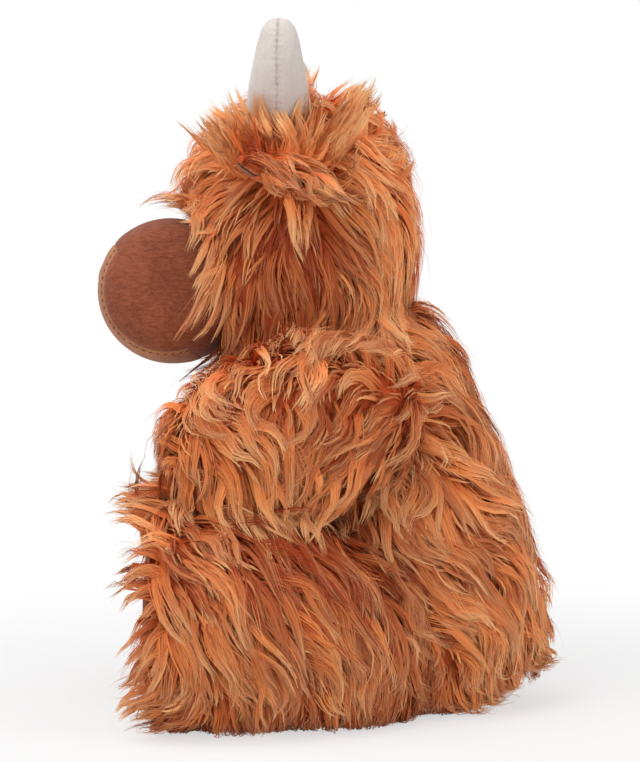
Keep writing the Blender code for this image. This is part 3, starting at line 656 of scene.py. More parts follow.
def grow(roots, outs, table, luck, short=1.0, stand=0.0, fall=0.25, hold=0.42, phase=0.0, free=False):
    """The locks' paths, the outward directions along them and their habits by name."""
    _, habits = combed(table, roots)
    habit = dict(zip(COMB_COLUMNS, habits.T))
    count = len(roots)
    lengths = habit["length"] / 1000 * luck.uniform(0.72, 1.12, count) * short
    layer = luck.random(count)
    habit["layer"] = layer
    heights = habit["height"] / 1000 * (0.25 + 0.75 * layer) * min(1.0, short + 0.2)
    own_turn = luck.normal(0, 0.20, count)
    path = np.empty((count, STEPS + 1, 3))
    out_path = np.empty_like(path)
    path[:, 0], out_path[:, 0] = roots - outs * 0.001, outs
    ahead = None
    for step in range(STEPS):
        here, out = path[:, step], out_path[:, step]
        way, _ = combed(table, here)
        flow = unit(way) if free else unit(way - out * (way * out).sum(1, keepdims=True))
        angle = (habit["swirl"] * ripple(here, 0.055, phase) + own_turn)[:, None]
        flow = flow * np.cos(angle) + np.cross(out, flow) * np.sin(angle)
        flow[:, 2] -= fall * (step + 1) / STEPS
        if ahead is None:
            lift = np.clip(habit["lift"] + stand, 0, 0.9)[:, None]
            ahead = unit(outs * lift + flow * (1 - lift))
        ahead = unit(ahead * (1 - hold) + flow * hold)
        point = here + ahead * (lengths / STEPS)[:, None]
        place, out = nearest(lying, point)
        gap = ((point - place) * out).sum(1)
        wanted = heights * min(1.0, 2.4 * (step + 1) / STEPS)
        sunk = np.maximum(wanted - gap, 0) - np.clip(gap - wanted * 1.5, 0, 0.0025) * 0.5
        point += out * (np.maximum(0.001 - gap, 0) if free else sunk)[:, None]
        point[:, 0] = np.clip(point[:, 0], -WIDEST, WIDEST)
        point[:, 2] = np.maximum(point[:, 2], 0.0015)
        path[:, step + 1], out_path[:, step + 1] = point, out
        ahead = unit(point - here)
    return path, out_path, habit


def gather(path, luck, spacing=0.017, pull=0.42):
    """Neighbouring locks lean towards a shared one, so that bigger tufts form."""
    roots = path[:, 0]
    order = luck.permutation(len(roots))
    heads = []
    for index in order:
        if all(np.linalg.norm(roots[index] - roots[head]) > spacing for head in heads):
            heads.append(index)
    heads = np.array(heads)
    leader = heads[((roots[:, None] - roots[None, heads]) ** 2).sum(-1).argmin(1)]
    shares = np.linspace(0, 1, STEPS + 1)[None, :, None]
    own = luck.uniform(0.2, 1.0, (len(roots), 1, 1))
    return path + (path[leader] - path) * pull * own * shares**1.6, leader


def frames_along(path, outs):
    """Along, outward and sideways directions at each point of each path."""
    along = unit(np.gradient(path, axis=1))
    out = unit(outs - along * (outs * along).sum(-1, keepdims=True))
    return along, out, np.cross(along, out)


def curl(path, outs, amount, leader, luck):
    """A slow side-to-side bend that grows to the tip, shared by the locks of one tuft."""
    _, out, side = frames_along(path, outs)
    shares = np.linspace(0, 1, STEPS + 1)[None, :]
    turns = luck.uniform(0.7, 1.25, len(path))[leader][:, None]
    start = luck.uniform(0, 2 * math.pi, len(path))[leader][:, None] + luck.normal(0, 0.35, (len(path), 1))
    swing = np.sin(2 * math.pi * turns * shares + start) - np.sin(start)
    rise = 1 - np.cos(2 * math.pi * turns * shares)
    size = (amount / 1000)[:, None] * shares**0.7
    return path + side * (swing * size)[..., None] + out * (rise * size * 0.25)[..., None]


# %% [markdown]
# One ribbon is cut from a grid of one face across and a few along. Its rows are then laid on each hair's
# path. The hairs of a lock start over a small patch. They gather into a few strands, which draw together
# towards the lock's tip. A few stray hairs spread instead, and each ribbon is rolled a little, so that
# they catch the light differently.
#
# A ribbon's own map says all that its colour needs: across the map goes the hair's tone, up it the way
# from root to tip.


# %% Ribbons
def ribbon(rows):
    """Which side and row each vertex of a one-face-wide grid lies on, and its faces."""
    bm = bmesh.new()
    bmesh.ops.create_grid(bm, x_segments=1, y_segments=rows, size=1)
    places = np.array([vert.co[:] for vert in bm.verts])
    faces = np.array([[vert.index for vert in face.verts] for face in bm.faces])
    bm.free()
    return np.sign(places[:, 0]), np.rint((places[:, 1] + 1) / 2 * rows).astype(int), faces


RIBBONS = {rows: ribbon(rows) for rows in (4, 5, 6)}
MOST_TRIANGLES = 196000


def hairs(path, outs, habit, per_lock, radius, luck, rows=6, stray=0.05, draw=0.55, strands=4):
    """The middle line, the width direction and the tone of each hair in every lock."""
    lock = np.repeat(np.arange(len(path)), per_lock)
    count = len(lock)
    along, out, side = (part[lock] for part in frames_along(path, outs))
    shares = np.linspace(0, 1, rows + 1)[None, :]
    reach = luck.uniform(0.66, 1.0, count)[:, None] * shares * STEPS
    low = np.minimum(reach.astype(int), STEPS - 1)
    part = (reach - low)[..., None]
    index = np.arange(count)[:, None]
    line = path[lock]
    line = line[index, low] * (1 - part) + line[index, low + 1] * part
    side, out = side[index, low], out[index, low]

    radii = radius * luck.uniform(0.7, 1.25, len(path))
    strand_turn = luck.uniform(0, 2 * math.pi, (len(path), strands))
    strand_away = np.sqrt(luck.random((len(path), strands))) * radii[:, None]
    strand = luck.integers(0, strands, count)
    turn = luck.uniform(0, 2 * math.pi, count)
    away = 0.5 * radii[lock] * np.sqrt(luck.random(count))
    middle = 1 - draw * shares**1.1
    own = 1 - 0.8 * shares**0.9
    is_stray = luck.random(count) < stray
    own = np.where(is_stray[:, None], 1 + 2.2 * shares**2, own)
    sideways = (strand_away[lock, strand] * np.cos(strand_turn[lock, strand]))[:, None] * middle
    sideways = sideways + (away * np.cos(turn))[:, None] * own
    back = (strand_away[lock, strand] * np.sin(strand_turn[lock, strand]))[:, None] * middle
    back = back + (away * np.sin(turn))[:, None] * own
    thick = luck.uniform(-0.5, 1.0, count)[:, None] * radius * 0.45 * np.sin(math.pi * shares**0.8)
    wave = 0.00028 * shares * np.sin(luck.uniform(1, 2.2, count)[:, None] * 6.28 * shares + turn[:, None] * 3)
    line = line + side * (sideways + wave)[..., None] + along[:, :1] * back[..., None]
    line = line + out * (thick + np.where(is_stray[:, None], 0.0015 * shares, 0))[..., None]
    roll = luck.uniform(-0.4, 0.4, count)[:, None] + luck.uniform(-0.3, 0.3, count)[:, None] * shares
    roll = roll[..., None]
    across = side * np.cos(roll) + out * np.sin(roll)
    # Locks that lie lower in the pile get a darker tone: painted shade deep in the pile.
    lock_tone = habit["tone"] + luck.normal(0, 0.15, len(path)) + 0.24 * (habit["layer"] - 0.5)
    strand_tone = luck.normal(0, 0.10, (len(path), strands))
    tone = np.clip(lock_tone[lock] + strand_tone[lock, strand] + luck.normal(0, 0.07, count), 0.03, 0.97)
    return line, across, tone


def lay_ribbons(name, line, across, tone, finish, wide):
    """Ribbons along the lines as one object with its own map."""
    rows = line.shape[1] - 1
    sides, row, faces = RIBBONS[rows]
    shares = np.linspace(0, 1, rows + 1)
    count, verts = len(line), len(row)
    taper = np.broadcast_to(0.5 * wide * (0.80 + 0.60 * shares - 1.30 * shares**2.6), (count, rows + 1))
    half = across[:, row] * (sides * taper[:, row])[..., None]
    points = line[:, row] + half
    points[..., 2] = np.maximum(points[..., 2], 0.0006)
    points[..., 0] = np.clip(points[..., 0], -WIDEST - 0.0008, WIDEST + 0.0008)
    corners = (faces[None] + (np.arange(count) * verts)[:, None, None]).reshape(-1)
    tone = tone.copy()
    tone[0], tone[-1] = 0.04, 0.96
    u = tone[:, None] + 0.003 * sides[None]
    v = np.broadcast_to(0.02 + 0.96 * shares[row], u.shape)
    mesh = bpy.data.meshes.new(name)
    mesh.vertices.add(count * verts)
    mesh.vertices.foreach_set("co", points.reshape(-1).astype(np.float32))
    mesh.loops.add(len(corners))
    mesh.loops.foreach_set("vertex_index", corners.astype(np.int32))
    mesh.polygons.add(len(corners) // 4)
    mesh.polygons.foreach_set("loop_start", np.arange(0, len(corners), 4, dtype=np.int32))
    layer = mesh.uv_layers.new(name="OFBake")
    own_map = np.stack([u.reshape(-1), v.reshape(-1)], 1)[corners]
    layer.data.foreach_set("uv", own_map.reshape(-1).astype(np.float32))
    mesh.update()
    mesh.shade_smooth()
    mesh.materials.append(finish)
    obj = bpy.data.objects.new(name, mesh)
    collection.objects.link(obj)
    return obj


# %% [markdown]
# The pile's colour is burnt orange with rust roots, and it pales to sandy gold at the tips, where the
# dye is lightest. Two blends do it: tone picks between a dark and a pale hair, and the way to the tip
# picks between root, middle and end. The roots' strong red orange, rather than brown, is painted light:
# it stands in for light that goes from hair to hair and grows redder each time.

# %% Long pile finish
long_pile, shader, place = new_material("long_pile", 0.50, Sheen_Weight=0.05, Sheen_Roughness=0.4)
shader.inputs["Specular IOR Level"].default_value = 0.18
own_map = place.make("ShaderNodeUVMap", {"uv_map": "OFBake"})
tone = own_map.make("ShaderNodeSeparateXYZ", None, {"Vector": own_map}, 0)
to_tip = own_map.make("ShaderNodeSeparateXYZ", None, {"Vector": own_map}, 1)
# The roots' strong red orange is painted light for the light scattered from hair to hair.
root_colour = tone.blend((0.340, 0.028, 0.002), (0.850, 0.190, 0.038))
middle_colour = tone.blend((0.300, 0.024, 0.002), (0.925, 0.325, 0.095))
tip_colour = tone.blend((0.350, 0.038, 0.004), (0.985, 0.605, 0.285))
colour = to_tip.step(0.0, 0.45).blend(root_colour, middle_colour)
feed(shader, "Base Color", to_tip.step(0.45, 1.0).blend(colour, tip_colour))


# %% Pile of the bags
BROAD, FINE, FLUFF = 0.0018, 0.00036, 0.0012
FLUFF_HAIRS, PILE_HAIRS, TUFT_HAIRS = ((3, 32, 28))
MASS_RIBBONS = 4


def add_ribbons(name, body, line, across, tone, wide, shades=True):
    """The ribbons in pieces that each stay under the face limit; how many triangles they have."""
    rows = line.shape[1] - 1
    pieces = max(1, math.ceil(len(line) * rows * 2 / MOST_TRIANGLES))
    for part, picked in enumerate(np.array_split(np.arange(len(line)), pieces)):
        label = name if pieces == 1 else f"{name}_{part + 1}"
        wide_here = wide[picked] if isinstance(wide, np.ndarray) else wide
        piece = lay_ribbons(label, line[picked], across[picked], tone[picked], long_pile, wide_here)
        piece.visible_shadow = shades
        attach(piece, body)
    return len(line) * rows * 2


def add_fluff(body, roots, outs, table, luck, many, phase):
    """The undercoat: short, broad, loose ribbons that fill the ground between the locks."""
    path, out_path, habit = grow(roots, outs, table, luck, short=0.5, stand=0.12, phase=phase)
    ribbons = hairs(path, out_path, habit, many, 0.0028, luck, rows=4, draw=0.15)
    return add_ribbons(f"fluff_{body}", body, *ribbons, FLUFF * (0.6 if body.startswith("ear") else 1))


def add_locks(name, body, roots, outs, table, luck, many, radius, **ways):
    """Each lock as four broad ribbons for its mass, with fine hairs over them."""
    if not len(roots):
        return 0
    path, out_path, habit = grow(roots, outs, table, luck, **ways)
    path, leader = gather(path, luck)
    path = curl(path, out_path, habit["curl"], leader, luck)
    mass = hairs(path - out_path * 0.0004, out_path, habit, MASS_RIBBONS, radius * 0.75, luck, stray=0, draw=0.65)
    wide = BROAD * np.repeat(np.clip(habit["length"] / 38, 0.4, 1.1), MASS_RIBBONS)[:, None]
    made = add_ribbons(f"mass_{name}", body, *mass, wide)
    fine = hairs(path, out_path, habit, many, radius, luck, rows=5)
    return made + add_ribbons(name, body, *fine, FINE, shades=False)


PILE = {
    "head": (0.0056, 0.0046),
    "body": (0.0061, 0.0050),
    "arm_left": (0.0056, 0.0046),
    "arm_right": (0.0056, 0.0046),
    "leg_left": (0.0058, 0.0050),
    "leg_right": (0.0058, 0.0050),
    "ear_left": (0.0042, 0.0032),
    "ear_right": (0.0042, 0.0032),
    "tail": (0.0050, 0.0036),
}
triangles = 0
for number, (body, (spacing, radius)) in enumerate(PILE.items()):
    luck = np.random.default_rng(70 + number)
    table = comb_arrays(COMB[body.split("_")[0]], body)
    for layer, close in (("fluff", spacing * 0.55), ("pile", spacing)):
        roots, outs = scatter(pelts[body], close, luck)
        bare = in_the_open(body, roots, outs, luck)
        roots, outs = roots[bare], outs[bare]
        if layer == "fluff":
            made = add_fluff(body, roots, outs, table, luck, FLUFF_HAIRS, number)
        else:
            lock = (luck, PILE_HAIRS, radius)
            made = add_locks(f"pile_{body}", body, roots, outs, table, *lock, phase=number)
        triangles += made
        print(layer, body, len(roots), "locks", made, "triangles")
print("triangles of pile so far", triangles)

# %% [markdown]
# Some locks stand out of the combed pile: golden tufts that hide the feet of the horns, spikes at the
# back of the crown and over the brow, the fringe at the front of the legs, and the long tips under the
# arms. They are rows of the same kind, but each also says how far around its place it takes its roots.

# %% Tufts that stand out
TUFTS = {
    "head": (
        ((38, -74, 268), (0.2, -0.6, 0.8), (30, 14, 0.60, 0.92, 1.5, 0.3), 10),
        ((50, -64, 256), (0.3, -0.5, 1.0), (34, 14, 0.50, 0.94, 1.5, 0.3), 10),
        ((50, -54, 254), (0.4, -0.2, 1.0), (34, 14, 0.50, 0.94, 1.5, 0.3), 10),
        ((50, -44, 256), (0.3, 0.2, 1.0), (32, 14, 0.50, 0.92, 1.5, 0.3), 10),
        ((40, -34, 266), (0.2, 0.4, 0.9), (28, 13, 0.60, 0.90, 1.5, 0.3), 9),
        ((18, -54, 280), (-0.1, -0.5, 0.8), (24, 12, 0.85, 0.88, 1.5, 0.3), 9),
        ((22, -10, 266), (0.1, 0.7, 0.6), (26, 10, 0.80, 0.80, 2.0, 0.6), 10),
        ((0, -8, 270), (0, 0.6, 0.7), (24, 10, 0.80, 0.80, 2.0, 0.6), 10),
        ((34, 0, 252), (0.2, 0.9, 0.2), (24, 9, 0.70, 0.72, 2.0, 0.6), 9),
        ((25, -90, 256), (0.1, -0.95, 0.2), (24, 10, 0.75, 0.80, 1.5, 0.4), 10),
        ((0, -90, 262), (0, -0.9, 0.4), (22, 10, 0.75, 0.80, 1.5, 0.4), 10),
        ((22, -92, 240), (0.1, -0.7, 0.3), (16, 9, 0.75, 0.70, 1.5, 0.4), 8),
        ((42, -82, 235), (0.2, -0.9, -0.5), (32, 8, 0.50, 0.62, 1.5, 0.4), 9),
        ((46, -34, 262), (0.3, 0.6, 0.2), (28, 11, 0.70, 0.80, 3.0, 1.2), 12),
        ((40, -88, 205), (0.3, -0.9, -0.6), (34, 8, 0.50, 0.55, 1.5, 0.4), 10),
        ((25, -82, 178), (0.1, -0.8, -0.7), (34, 12, 0.60, 0.50, 2.0, 0.4), 12),
        ((22, -72, 168), (0.1, -0.9, -0.6), (36, 12, 0.60, 0.50, 2.0, 0.4), 12),
    ),
    "body": (
        ((25, 58, 40), (0.1, 0.95, -0.3), (24, 9, 0.60, 0.70, 2.0, 0.5), 10),
        ((10, 60, 20), (0, 0.95, -0.2), (20, 7, 0.60, 0.65, 2.0, 0.5), 9),
    ),
    "arm": (
        ((80, -96, 140), (0, -0.9, 0.1), (24, 8, 0.65, 0.75, 3.0, 0.8), 9),
        ((84, -96, 122), (0, -0.9, -0.3), (24, 8, 0.60, 0.72, 3.0, 0.8), 9),
        ((93, -36, 114), (0.2, 0.05, -1), (52, 9, 0.30, 0.93, 3.5, 0.2), 14),
        ((93, -56, 116), (0.2, 0.35, -0.9), (50, 9, 0.30, 0.86, 3.5, 0.2), 12),
        ((93, -14, 118), (0.2, -0.3, -1), (48, 9, 0.30, 0.78, 3.5, 0.2), 11),
        ((88, -76, 116), (0.15, 0.4, -0.9), (42, 8, 0.30, 0.68, 3.5, 0.2), 11),
    ),
    "leg": (
        ((42, -98, 94), (-0.1, -0.7, 0.6), (44, 15, 0.70, 0.72, 3.0, 0.4), 14),
        ((60, -96, 96), (0.0, -0.7, 0.5), (38, 13, 0.70, 0.66, 3.0, 0.5), 12),
    ),
    "ear": (
        ((90, -38, 239), (0.1, 0.15, -1), (29, 3, 0.30, 0.97, 1.0, 0.1), 6),
        ((80, -36, 240), (0, 0.3, -1), (26, 3, 0.30, 0.97, 1.0, 0.1), 5),
        ((74, -46, 246), (0.3, 0.9, 0.2), (32, 8, 0.40, 0.68, 2.0, 0.3), 8),
        ((66, -58, 250), (0.3, 0.9, 0.1), (34, 7, 0.40, 0.64, 2.0, 0.3), 8),
    ),
}


def near_rows(rows, table, roots):
    """Which roots lie within a row's own reach of that row's place."""
    reaches = np.array([row[3] for row in rows] * (len(table[0]) // len(rows))) / 1000
    return (np.linalg.norm(roots[:, None] - table[0][None], axis=-1) < reaches).any(1)


for number, body in enumerate(PILE):
    luck = np.random.default_rng(90 + number)
    kind = body.split("_")[0]
    if kind not in TUFTS:
        continue
    table = comb_arrays(TUFTS[kind], body)
    roots, outs = scatter(pelts[body], 0.0034 if kind == "ear" else 0.0052, luck)
    wanted = near_rows(TUFTS[kind], table, roots) & in_the_open(body, roots, outs, luck, share=1.0)
    lock, ways = (luck, PILE_HAIRS, 0.0034), {"hold": 0.25, "fall": 0.12}
    triangles += add_locks(f"tufts_{body}", body, roots[wanted], outs[wanted], table, *lock, **ways)
    print("tufts", body, wanted.sum(), "locks")

# %% [markdown]
# The golden tufts at the horns' feet stand free. They rise from the crown round each horn and from the ear's
# root, and fan over the horn without lying on it.

# %% Tufts at the horns' feet
HORN_TUFTS = (
    ((52, -76, 256), (0.10, -0.70, 0.75), (32, 8, 0.50, 0.93, 2.0, 0.2), 9),
    ((52, -70, 252), (0.50, -0.60, -0.35), (32, 8, 0.40, 0.86, 2.0, 0.2), 8),
    ((56, -66, 255), (0.20, -0.35, 1.0), (40, 8, 0.50, 0.97, 2.0, 0.2), 9),
    ((58, -58, 254), (0.20, -0.10, 1.0), (43, 8, 0.50, 0.98, 2.0, 0.2), 9),
    ((58, -50, 254), (0.20, 0.15, 1.0), (43, 8, 0.50, 0.98, 2.0, 0.2), 9),
    ((56, -42, 254), (0.20, 0.45, 0.9), (38, 8, 0.50, 0.93, 2.0, 0.2), 9),
    ((52, -34, 256), (0.20, 0.80, 0.6), (34, 8, 0.50, 0.88, 2.0, 0.2), 9),
    ((42, -80, 262), (0.1, -0.8, 0.6), (30, 8, 0.50, 0.90, 2.0, 0.2), 9),
    ((40, -28, 264), (0.15, 0.6, 0.8), (30, 8, 0.50, 0.88, 2.0, 0.2), 9),
    ((14, -54, 280), (-0.1, 0.4, 0.9), (24, 8, 0.50, 0.92, 2.0, 0.2), 9),
    ((10, -28, 276), (-0.1, 0.8, 0.6), (24, 8, 0.50, 0.86, 2.0, 0.2), 10),
)
for body in ("head", "ear_left", "ear_right"):
    luck = np.random.default_rng(120 + len(body))
    sides = [1, -1] if body == "head" else [-1 if body.endswith("right") else 1]
    made, roots, outs = 0, *scatter(pelts[body], 0.0034, luck)
    for side in sides:
        table = comb_arrays(HORN_TUFTS, body, side)
        wanted = near_rows(HORN_TUFTS, table, roots)
        name = f"horn_tufts_{body}" + ("" if len(sides) == 1 else "_left" if side > 0 else "_right")
        lock, ways = (luck, TUFT_HAIRS, 0.0036), {"hold": 0.30, "fall": 0.05, "free": True}
        made += add_locks(name, body, roots[wanted], outs[wanted], table, *lock, **ways)
        print("tufts", name, wanted.sum(), "locks")
    triangles += made

# %% [markdown]
# The pile at the front edge of each leg stands out past the sole and droops over it.

# %% Fringe round the soles
LEG_FRINGE = (
    ((28, -99, 88), (-0.3, -0.9, 0.3), (28, 8, 0.50, 0.62, 3.0, 0.3), 9),
    ((42, -99, 94), (-0.1, -0.9, 0.5), (34, 8, 0.50, 0.70, 3.0, 0.3), 9),
    ((60, -99, 97), (0.0, -0.9, 0.4), (30, 8, 0.50, 0.66, 3.0, 0.3), 9),
    ((78, -99, 92), (0.1, -0.9, 0.2), (26, 8, 0.50, 0.62, 3.0, 0.3), 9),
    ((92, -99, 80), (0.15, -0.9, 0.1), (24, 8, 0.50, 0.58, 3.0, 0.3), 9),
    ((100, -99, 64), (0.1, -0.9, -0.3), (24, 8, 0.50, 0.55, 3.0, 0.3), 9),
    ((104, -99, 46), (0.1, -0.9, -0.4), (24, 8, 0.50, 0.54, 3.0, 0.3), 9),
    ((102, -99, 28), (0.1, -0.9, -0.4), (26, 8, 0.50, 0.56, 3.0, 0.3), 9),
    ((97, -99, 12), (0.1, -0.9, -0.4), (24, 8, 0.50, 0.60, 3.0, 0.3), 9),
    ((20, -99, 60), (-0.3, -0.8, -0.4), (22, 8, 0.50, 0.52, 3.0, 0.3), 9),
    ((20, -99, 30), (-0.3, -0.8, -0.4), (22, 8, 0.50, 0.52, 3.0, 0.3), 9),
)
FRINGE_BACK = -0.090
for body in ("leg_left", "leg_right"):
    luck = np.random.default_rng(140 + len(body))
    table = comb_arrays(LEG_FRINGE, body)
    roots, outs = scatter(pelts[body], 0.0036, luck)
    wanted = near_rows(LEG_FRINGE, table, roots) & in_the_open(body, roots, outs, luck, share=1.0)
    wanted &= roots[:, 1] < FRINGE_BACK
    lock, ways = (luck, TUFT_HAIRS, 0.0032), {"hold": 0.30, "fall": 0.35, "free": True}
    triangles += add_locks(f"fringe_{body}", body, roots[wanted], outs[wanted], table, *lock, **ways)
    print("fringe", body, wanted.sum(), "locks")

# %% [markdown]
# From the tip of each ear hang a thin pale lock and a broad one.

# %% Locks at the tips of the ears
EAR_TIPS = (
    ((90, -42, 241), (0.15, 0.02, -1), (26, 8, 0.30, 0.97, 1.0, 0.1), 2.8),
    ((90, -30, 239), (0.15, 0.10, -1), (33, 8, 0.30, 0.97, 1.0, 0.1), 4.5),
)
for body in ("ear_left", "ear_right"):
    luck = np.random.default_rng(160 + len(body))
    table = comb_arrays(EAR_TIPS, body)
    roots, outs = scatter(pelts[body], 0.0024, luck)
    wanted = near_rows(EAR_TIPS, table, roots)
    lock, ways = (luck, TUFT_HAIRS, 0.0022), {"hold": 0.55, "fall": 0.2, "free": True}
    triangles += add_locks(f"tips_{body}", body, roots[wanted], outs[wanted], table, *lock, **ways)
    print("tips", body, wanted.sum(), "locks")

# %% [markdown]
# Over the locks lie longer, smoother strands, which pull the pile into the long lines that brushing leaves.

# %% Long strands on top
STRANDS = {"head": 0.0105, "body": 0.0120, "arm_left": 0.0115, "arm_right": 0.0115}
STRANDS.update({"leg_left": 0.0115, "leg_right": 0.0115})
for number, (body, spacing) in enumerate(STRANDS.items()):
    luck = np.random.default_rng(150 + number)
    table = comb_arrays(COMB[body.split("_")[0]], body)
    roots, outs = scatter(pelts[body], spacing, luck)
    bare = in_the_open(body, roots, outs, luck)
    lock, ways = (luck, TUFT_HAIRS, 0.0030), {"short": 1.45, "stand": 0.15, "phase": number}
    triangles += add_locks(f"strands_{body}", body, roots[bare], outs[bare], table, *lock, **ways)
    print("strands", body, bare.sum(), "locks")
print("triangles of pile", triangles)

# %% [markdown]
# The muzzle is the one large piece without long pile: a drum of brown velour lying across the face, with a
# lighter panel let in over the nose and chin. A drum is a turned shape, so half its side view is drawn
# as a few points and spun about the line across the head. The seam is not a texture: the drum is cut
# along it, the cloth is pulled in there and swells on both sides, and the two cloths become two pieces.

# %% Muzzle form
skin_low, skin_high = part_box("muzzle_skin")
panel_low, panel_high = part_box("muzzle_front_panel")
muzzle_radius = (skin_high.z - panel_low.z) / 2 - 0.0004
muzzle_middle = Vector((0, panel_low.y + muzzle_radius + 0.0004, (skin_high.z + panel_low.z) / 2))
muzzle_half = skin_high.x
panel_half = panel_high.x + 0.0003
panel_slope = math.radians(36.0)
panel_way = Vector((0, -math.cos(panel_slope), -math.sin(panel_slope)))
panel_start = 0.0077
DRUM = ((0, 1.0), (0.25, 0.998), (0.50, 0.975), (0.66, 0.940), (0.80, 0.875), (0.90, 0.775))
DRUM += ((0.955, 0.640), (0.985, 0.430), (0.998, 0.200), (1.0, 0.0))
FACE_SIZE = 0.00115


def drum_side():
    """Points down the drum's side view, from its left end to its right, closely and evenly spaced."""
    half = np.array([(share * muzzle_half, radius * muzzle_radius) for share, radius in DRUM])
    whole = np.vstack([half[::-1], half[1:] * (-1, 1)])
    along = np.concatenate([[0], np.cumsum(np.linalg.norm(np.diff(whole, axis=0), axis=1))])
    even = np.linspace(0, along[-1], int(along[-1] / FACE_SIZE))
    rounded = np.stack([np.interp(even, along, whole[:, column]) for column in (0, 1)], axis=1)
    for _ in range(40):
        rounded[1:-1] = (rounded[:-2] + rounded[1:-1] * 2 + rounded[2:]) / 4
    return rounded


def seam_distance(point):
    """How far a point is from the panel's seam: below 0 inside the panel."""
    across = abs(point.x) - panel_half
    before = panel_start - (point - muzzle_middle).dot(panel_way)
    outside = math.hypot(max(across, 0), max(before, 0))
    return outside if outside > 0 else max(across, before)


def muzzle_drum():
    bm = bmesh.new()
    side_view = [bm.verts.new(muzzle_middle + Vector((x, 0, radius))) for x, radius in drum_side()]
    edges = [bm.edges.new(pair) for pair in zip(side_view, side_view[1:])]
    steps = int(2 * math.pi * muzzle_radius / FACE_SIZE / 1.3)
    turn = {"cent": muzzle_middle, "axis": (1, 0, 0), "angle": 2 * math.pi, "steps": steps}
    bmesh.ops.spin(bm, geom=side_view + edges, use_merge=True, **turn)
    bmesh.ops.remove_doubles(bm, verts=bm.verts, dist=0.00008)
    cuts = [(Vector((side * panel_half, 0, 0)), Vector((1, 0, 0))) for side in SIDES.values()]
    cuts.append((muzzle_middle + panel_way * panel_start, panel_way))
    for place, way in cuts:
        for offset in (-0.0012, -0.0005, 0, 0.0005, 0.0012):
            geometry = bm.verts[:] + bm.edges[:] + bm.faces[:]
            plane = {"plane_co": place + way * offset, "plane_no": way}
            bmesh.ops.bisect_plane(bm, geom=geometry, dist=0.00002, **plane)
    back = Vector((0, skin_high.y - 0.004, 0))
    geometry = bm.verts[:] + bm.edges[:] + bm.faces[:]
    bmesh.ops.bisect_plane(bm, geom=geometry, plane_co=back, plane_no=(0, 1, 0), clear_outer=True)
    bmesh.ops.recalc_face_normals(bm, faces=bm.faces)
    bm.normal_update()
    return bm


def pull_in_seam(bm):
    """Moves the cloth in at the seam and lets it swell a little beside it."""
    moves = []
    for vert in bm.verts:
        away = abs(seam_distance(vert.co))
        swell = 0.0002 * math.exp(-(((away - 0.0045) / 0.0032) ** 2))
        moves.append((vert, vert.normal * (swell - 0.0004 * math.exp(-((away / 0.0009) ** 2)))))
    for vert, move in moves:
        vert.co += move


def part_of(bm, side):
    """A copy with only the faces on one side of the seam, whose edge tucks in under the other cloth."""
    part = bm.copy()
    dropped = [face for face in part.faces if seam_distance(face.calc_center_median()) * side < -0.0006]
    bmesh.ops.delete(part, geom=dropped, context="FACES")
    for vert in part.verts:
        under = min(0.0, seam_distance(vert.co) * side + 0.0001)
        vert.co += vert.normal * max(under * 1.4, -0.0012)
    return part


# %% Muzzle pieces
drum = muzzle_drum()
pull_in_seam(drum)
muzzle_pieces = {
    "muzzle_skin": (part_of(drum, 1), brown_velour, "brown_velour"),
    "muzzle_front_panel": (part_of(drum, -1), tan_velour, "tan_velour"),
}
drum.free()
for node, (bm, finish, slot) in muzzle_pieces.items():
    piece = add_piece(node.replace("skin", "sides") + "_cloth", bm, finish)
    cloth = piece.modifiers.new("cloth", "SOLIDIFY")
    cloth.thickness, cloth.offset = 0.0018, -1
    apply_modifiers(piece)
    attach(piece, "head")
    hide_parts(node)
    print(piece.name, len(piece.data.polygons), "faces")

# %% [markdown]
# The seam is closed with a row of short stitches in dark thread, which show as dashes in the groove. A
# stitch is a small sphere drawn out along the seam, so a hundred of them cost few faces.

# %% Thread finish
dark_thread, shader, place = new_material("dark_thread", 0.7, Sheen_Weight=0.2)
twist = place.make("ShaderNodeTexWave", None, {"Vector": place, "Scale": 900.0, "Distortion": 2.0}, 1)
feed(shader, "Base Color", twist.blend((0.045, 0.016, 0.009), (0.105, 0.040, 0.022)))
bump(shader, twist, 0.5, 0.0002)


# %% Rows of stitches
def stitch_row(bm, path, tree, length, thick, gap):
    """Stitches along a path of points, each laid on the surface below it."""
    path = np.array(path)
    along = np.concatenate([[0], np.cumsum(np.linalg.norm(np.diff(path, axis=0), axis=1))])
    for middle in np.arange(gap / 2, along[-1], gap):
        ends = [
            Vector([np.interp(middle + reach, along, path[:, axis]) for axis in range(3)])
            for reach in (-length / 2, length / 2)
        ]
        place, out, _, _ = tree.find_nearest((ends[0] + ends[1]) / 2)
        way = (ends[1] - ends[0]).normalized()
        way = (way - out * way.dot(out)).normalized()
        turn = Matrix((way, out.cross(way), out)).transposed().to_4x4()
        size = Matrix.Diagonal((length / 2, thick / 2, thick / 2, 1))
        matrix = Matrix.Translation(place + out * thick * 0.15) @ turn @ size
        bmesh.ops.create_uvsphere(bm, u_segments=6, v_segments=4, radius=1, matrix=matrix)


def muzzle_seam_paths():
    """Round each side of the panel and across the drum where the panel starts and ends."""
    start = math.acos(panel_start / muzzle_radius)
    paths = []
    for side in SIDES.values():
        turns = [panel_slope + (start * 0.99) * (share / 40 - 1) for share in range(81)]
        ring = [Vector((0, -math.cos(turn), -math.sin(turn))) * muzzle_radius * 0.9 for turn in turns]
        paths.append([muzzle_middle + place + Vector((side * panel_half, 0, 0)) for place in ring])
    for turn in (panel_slope - start, panel_slope + start):
        place = muzzle_middle + Vector((0, -math.cos(turn), -math.sin(turn))) * muzzle_radius
        paths.append([place + Vector((x, 0, 0)) for x in np.linspace(-panel_half, panel_half, 40)])
    return paths


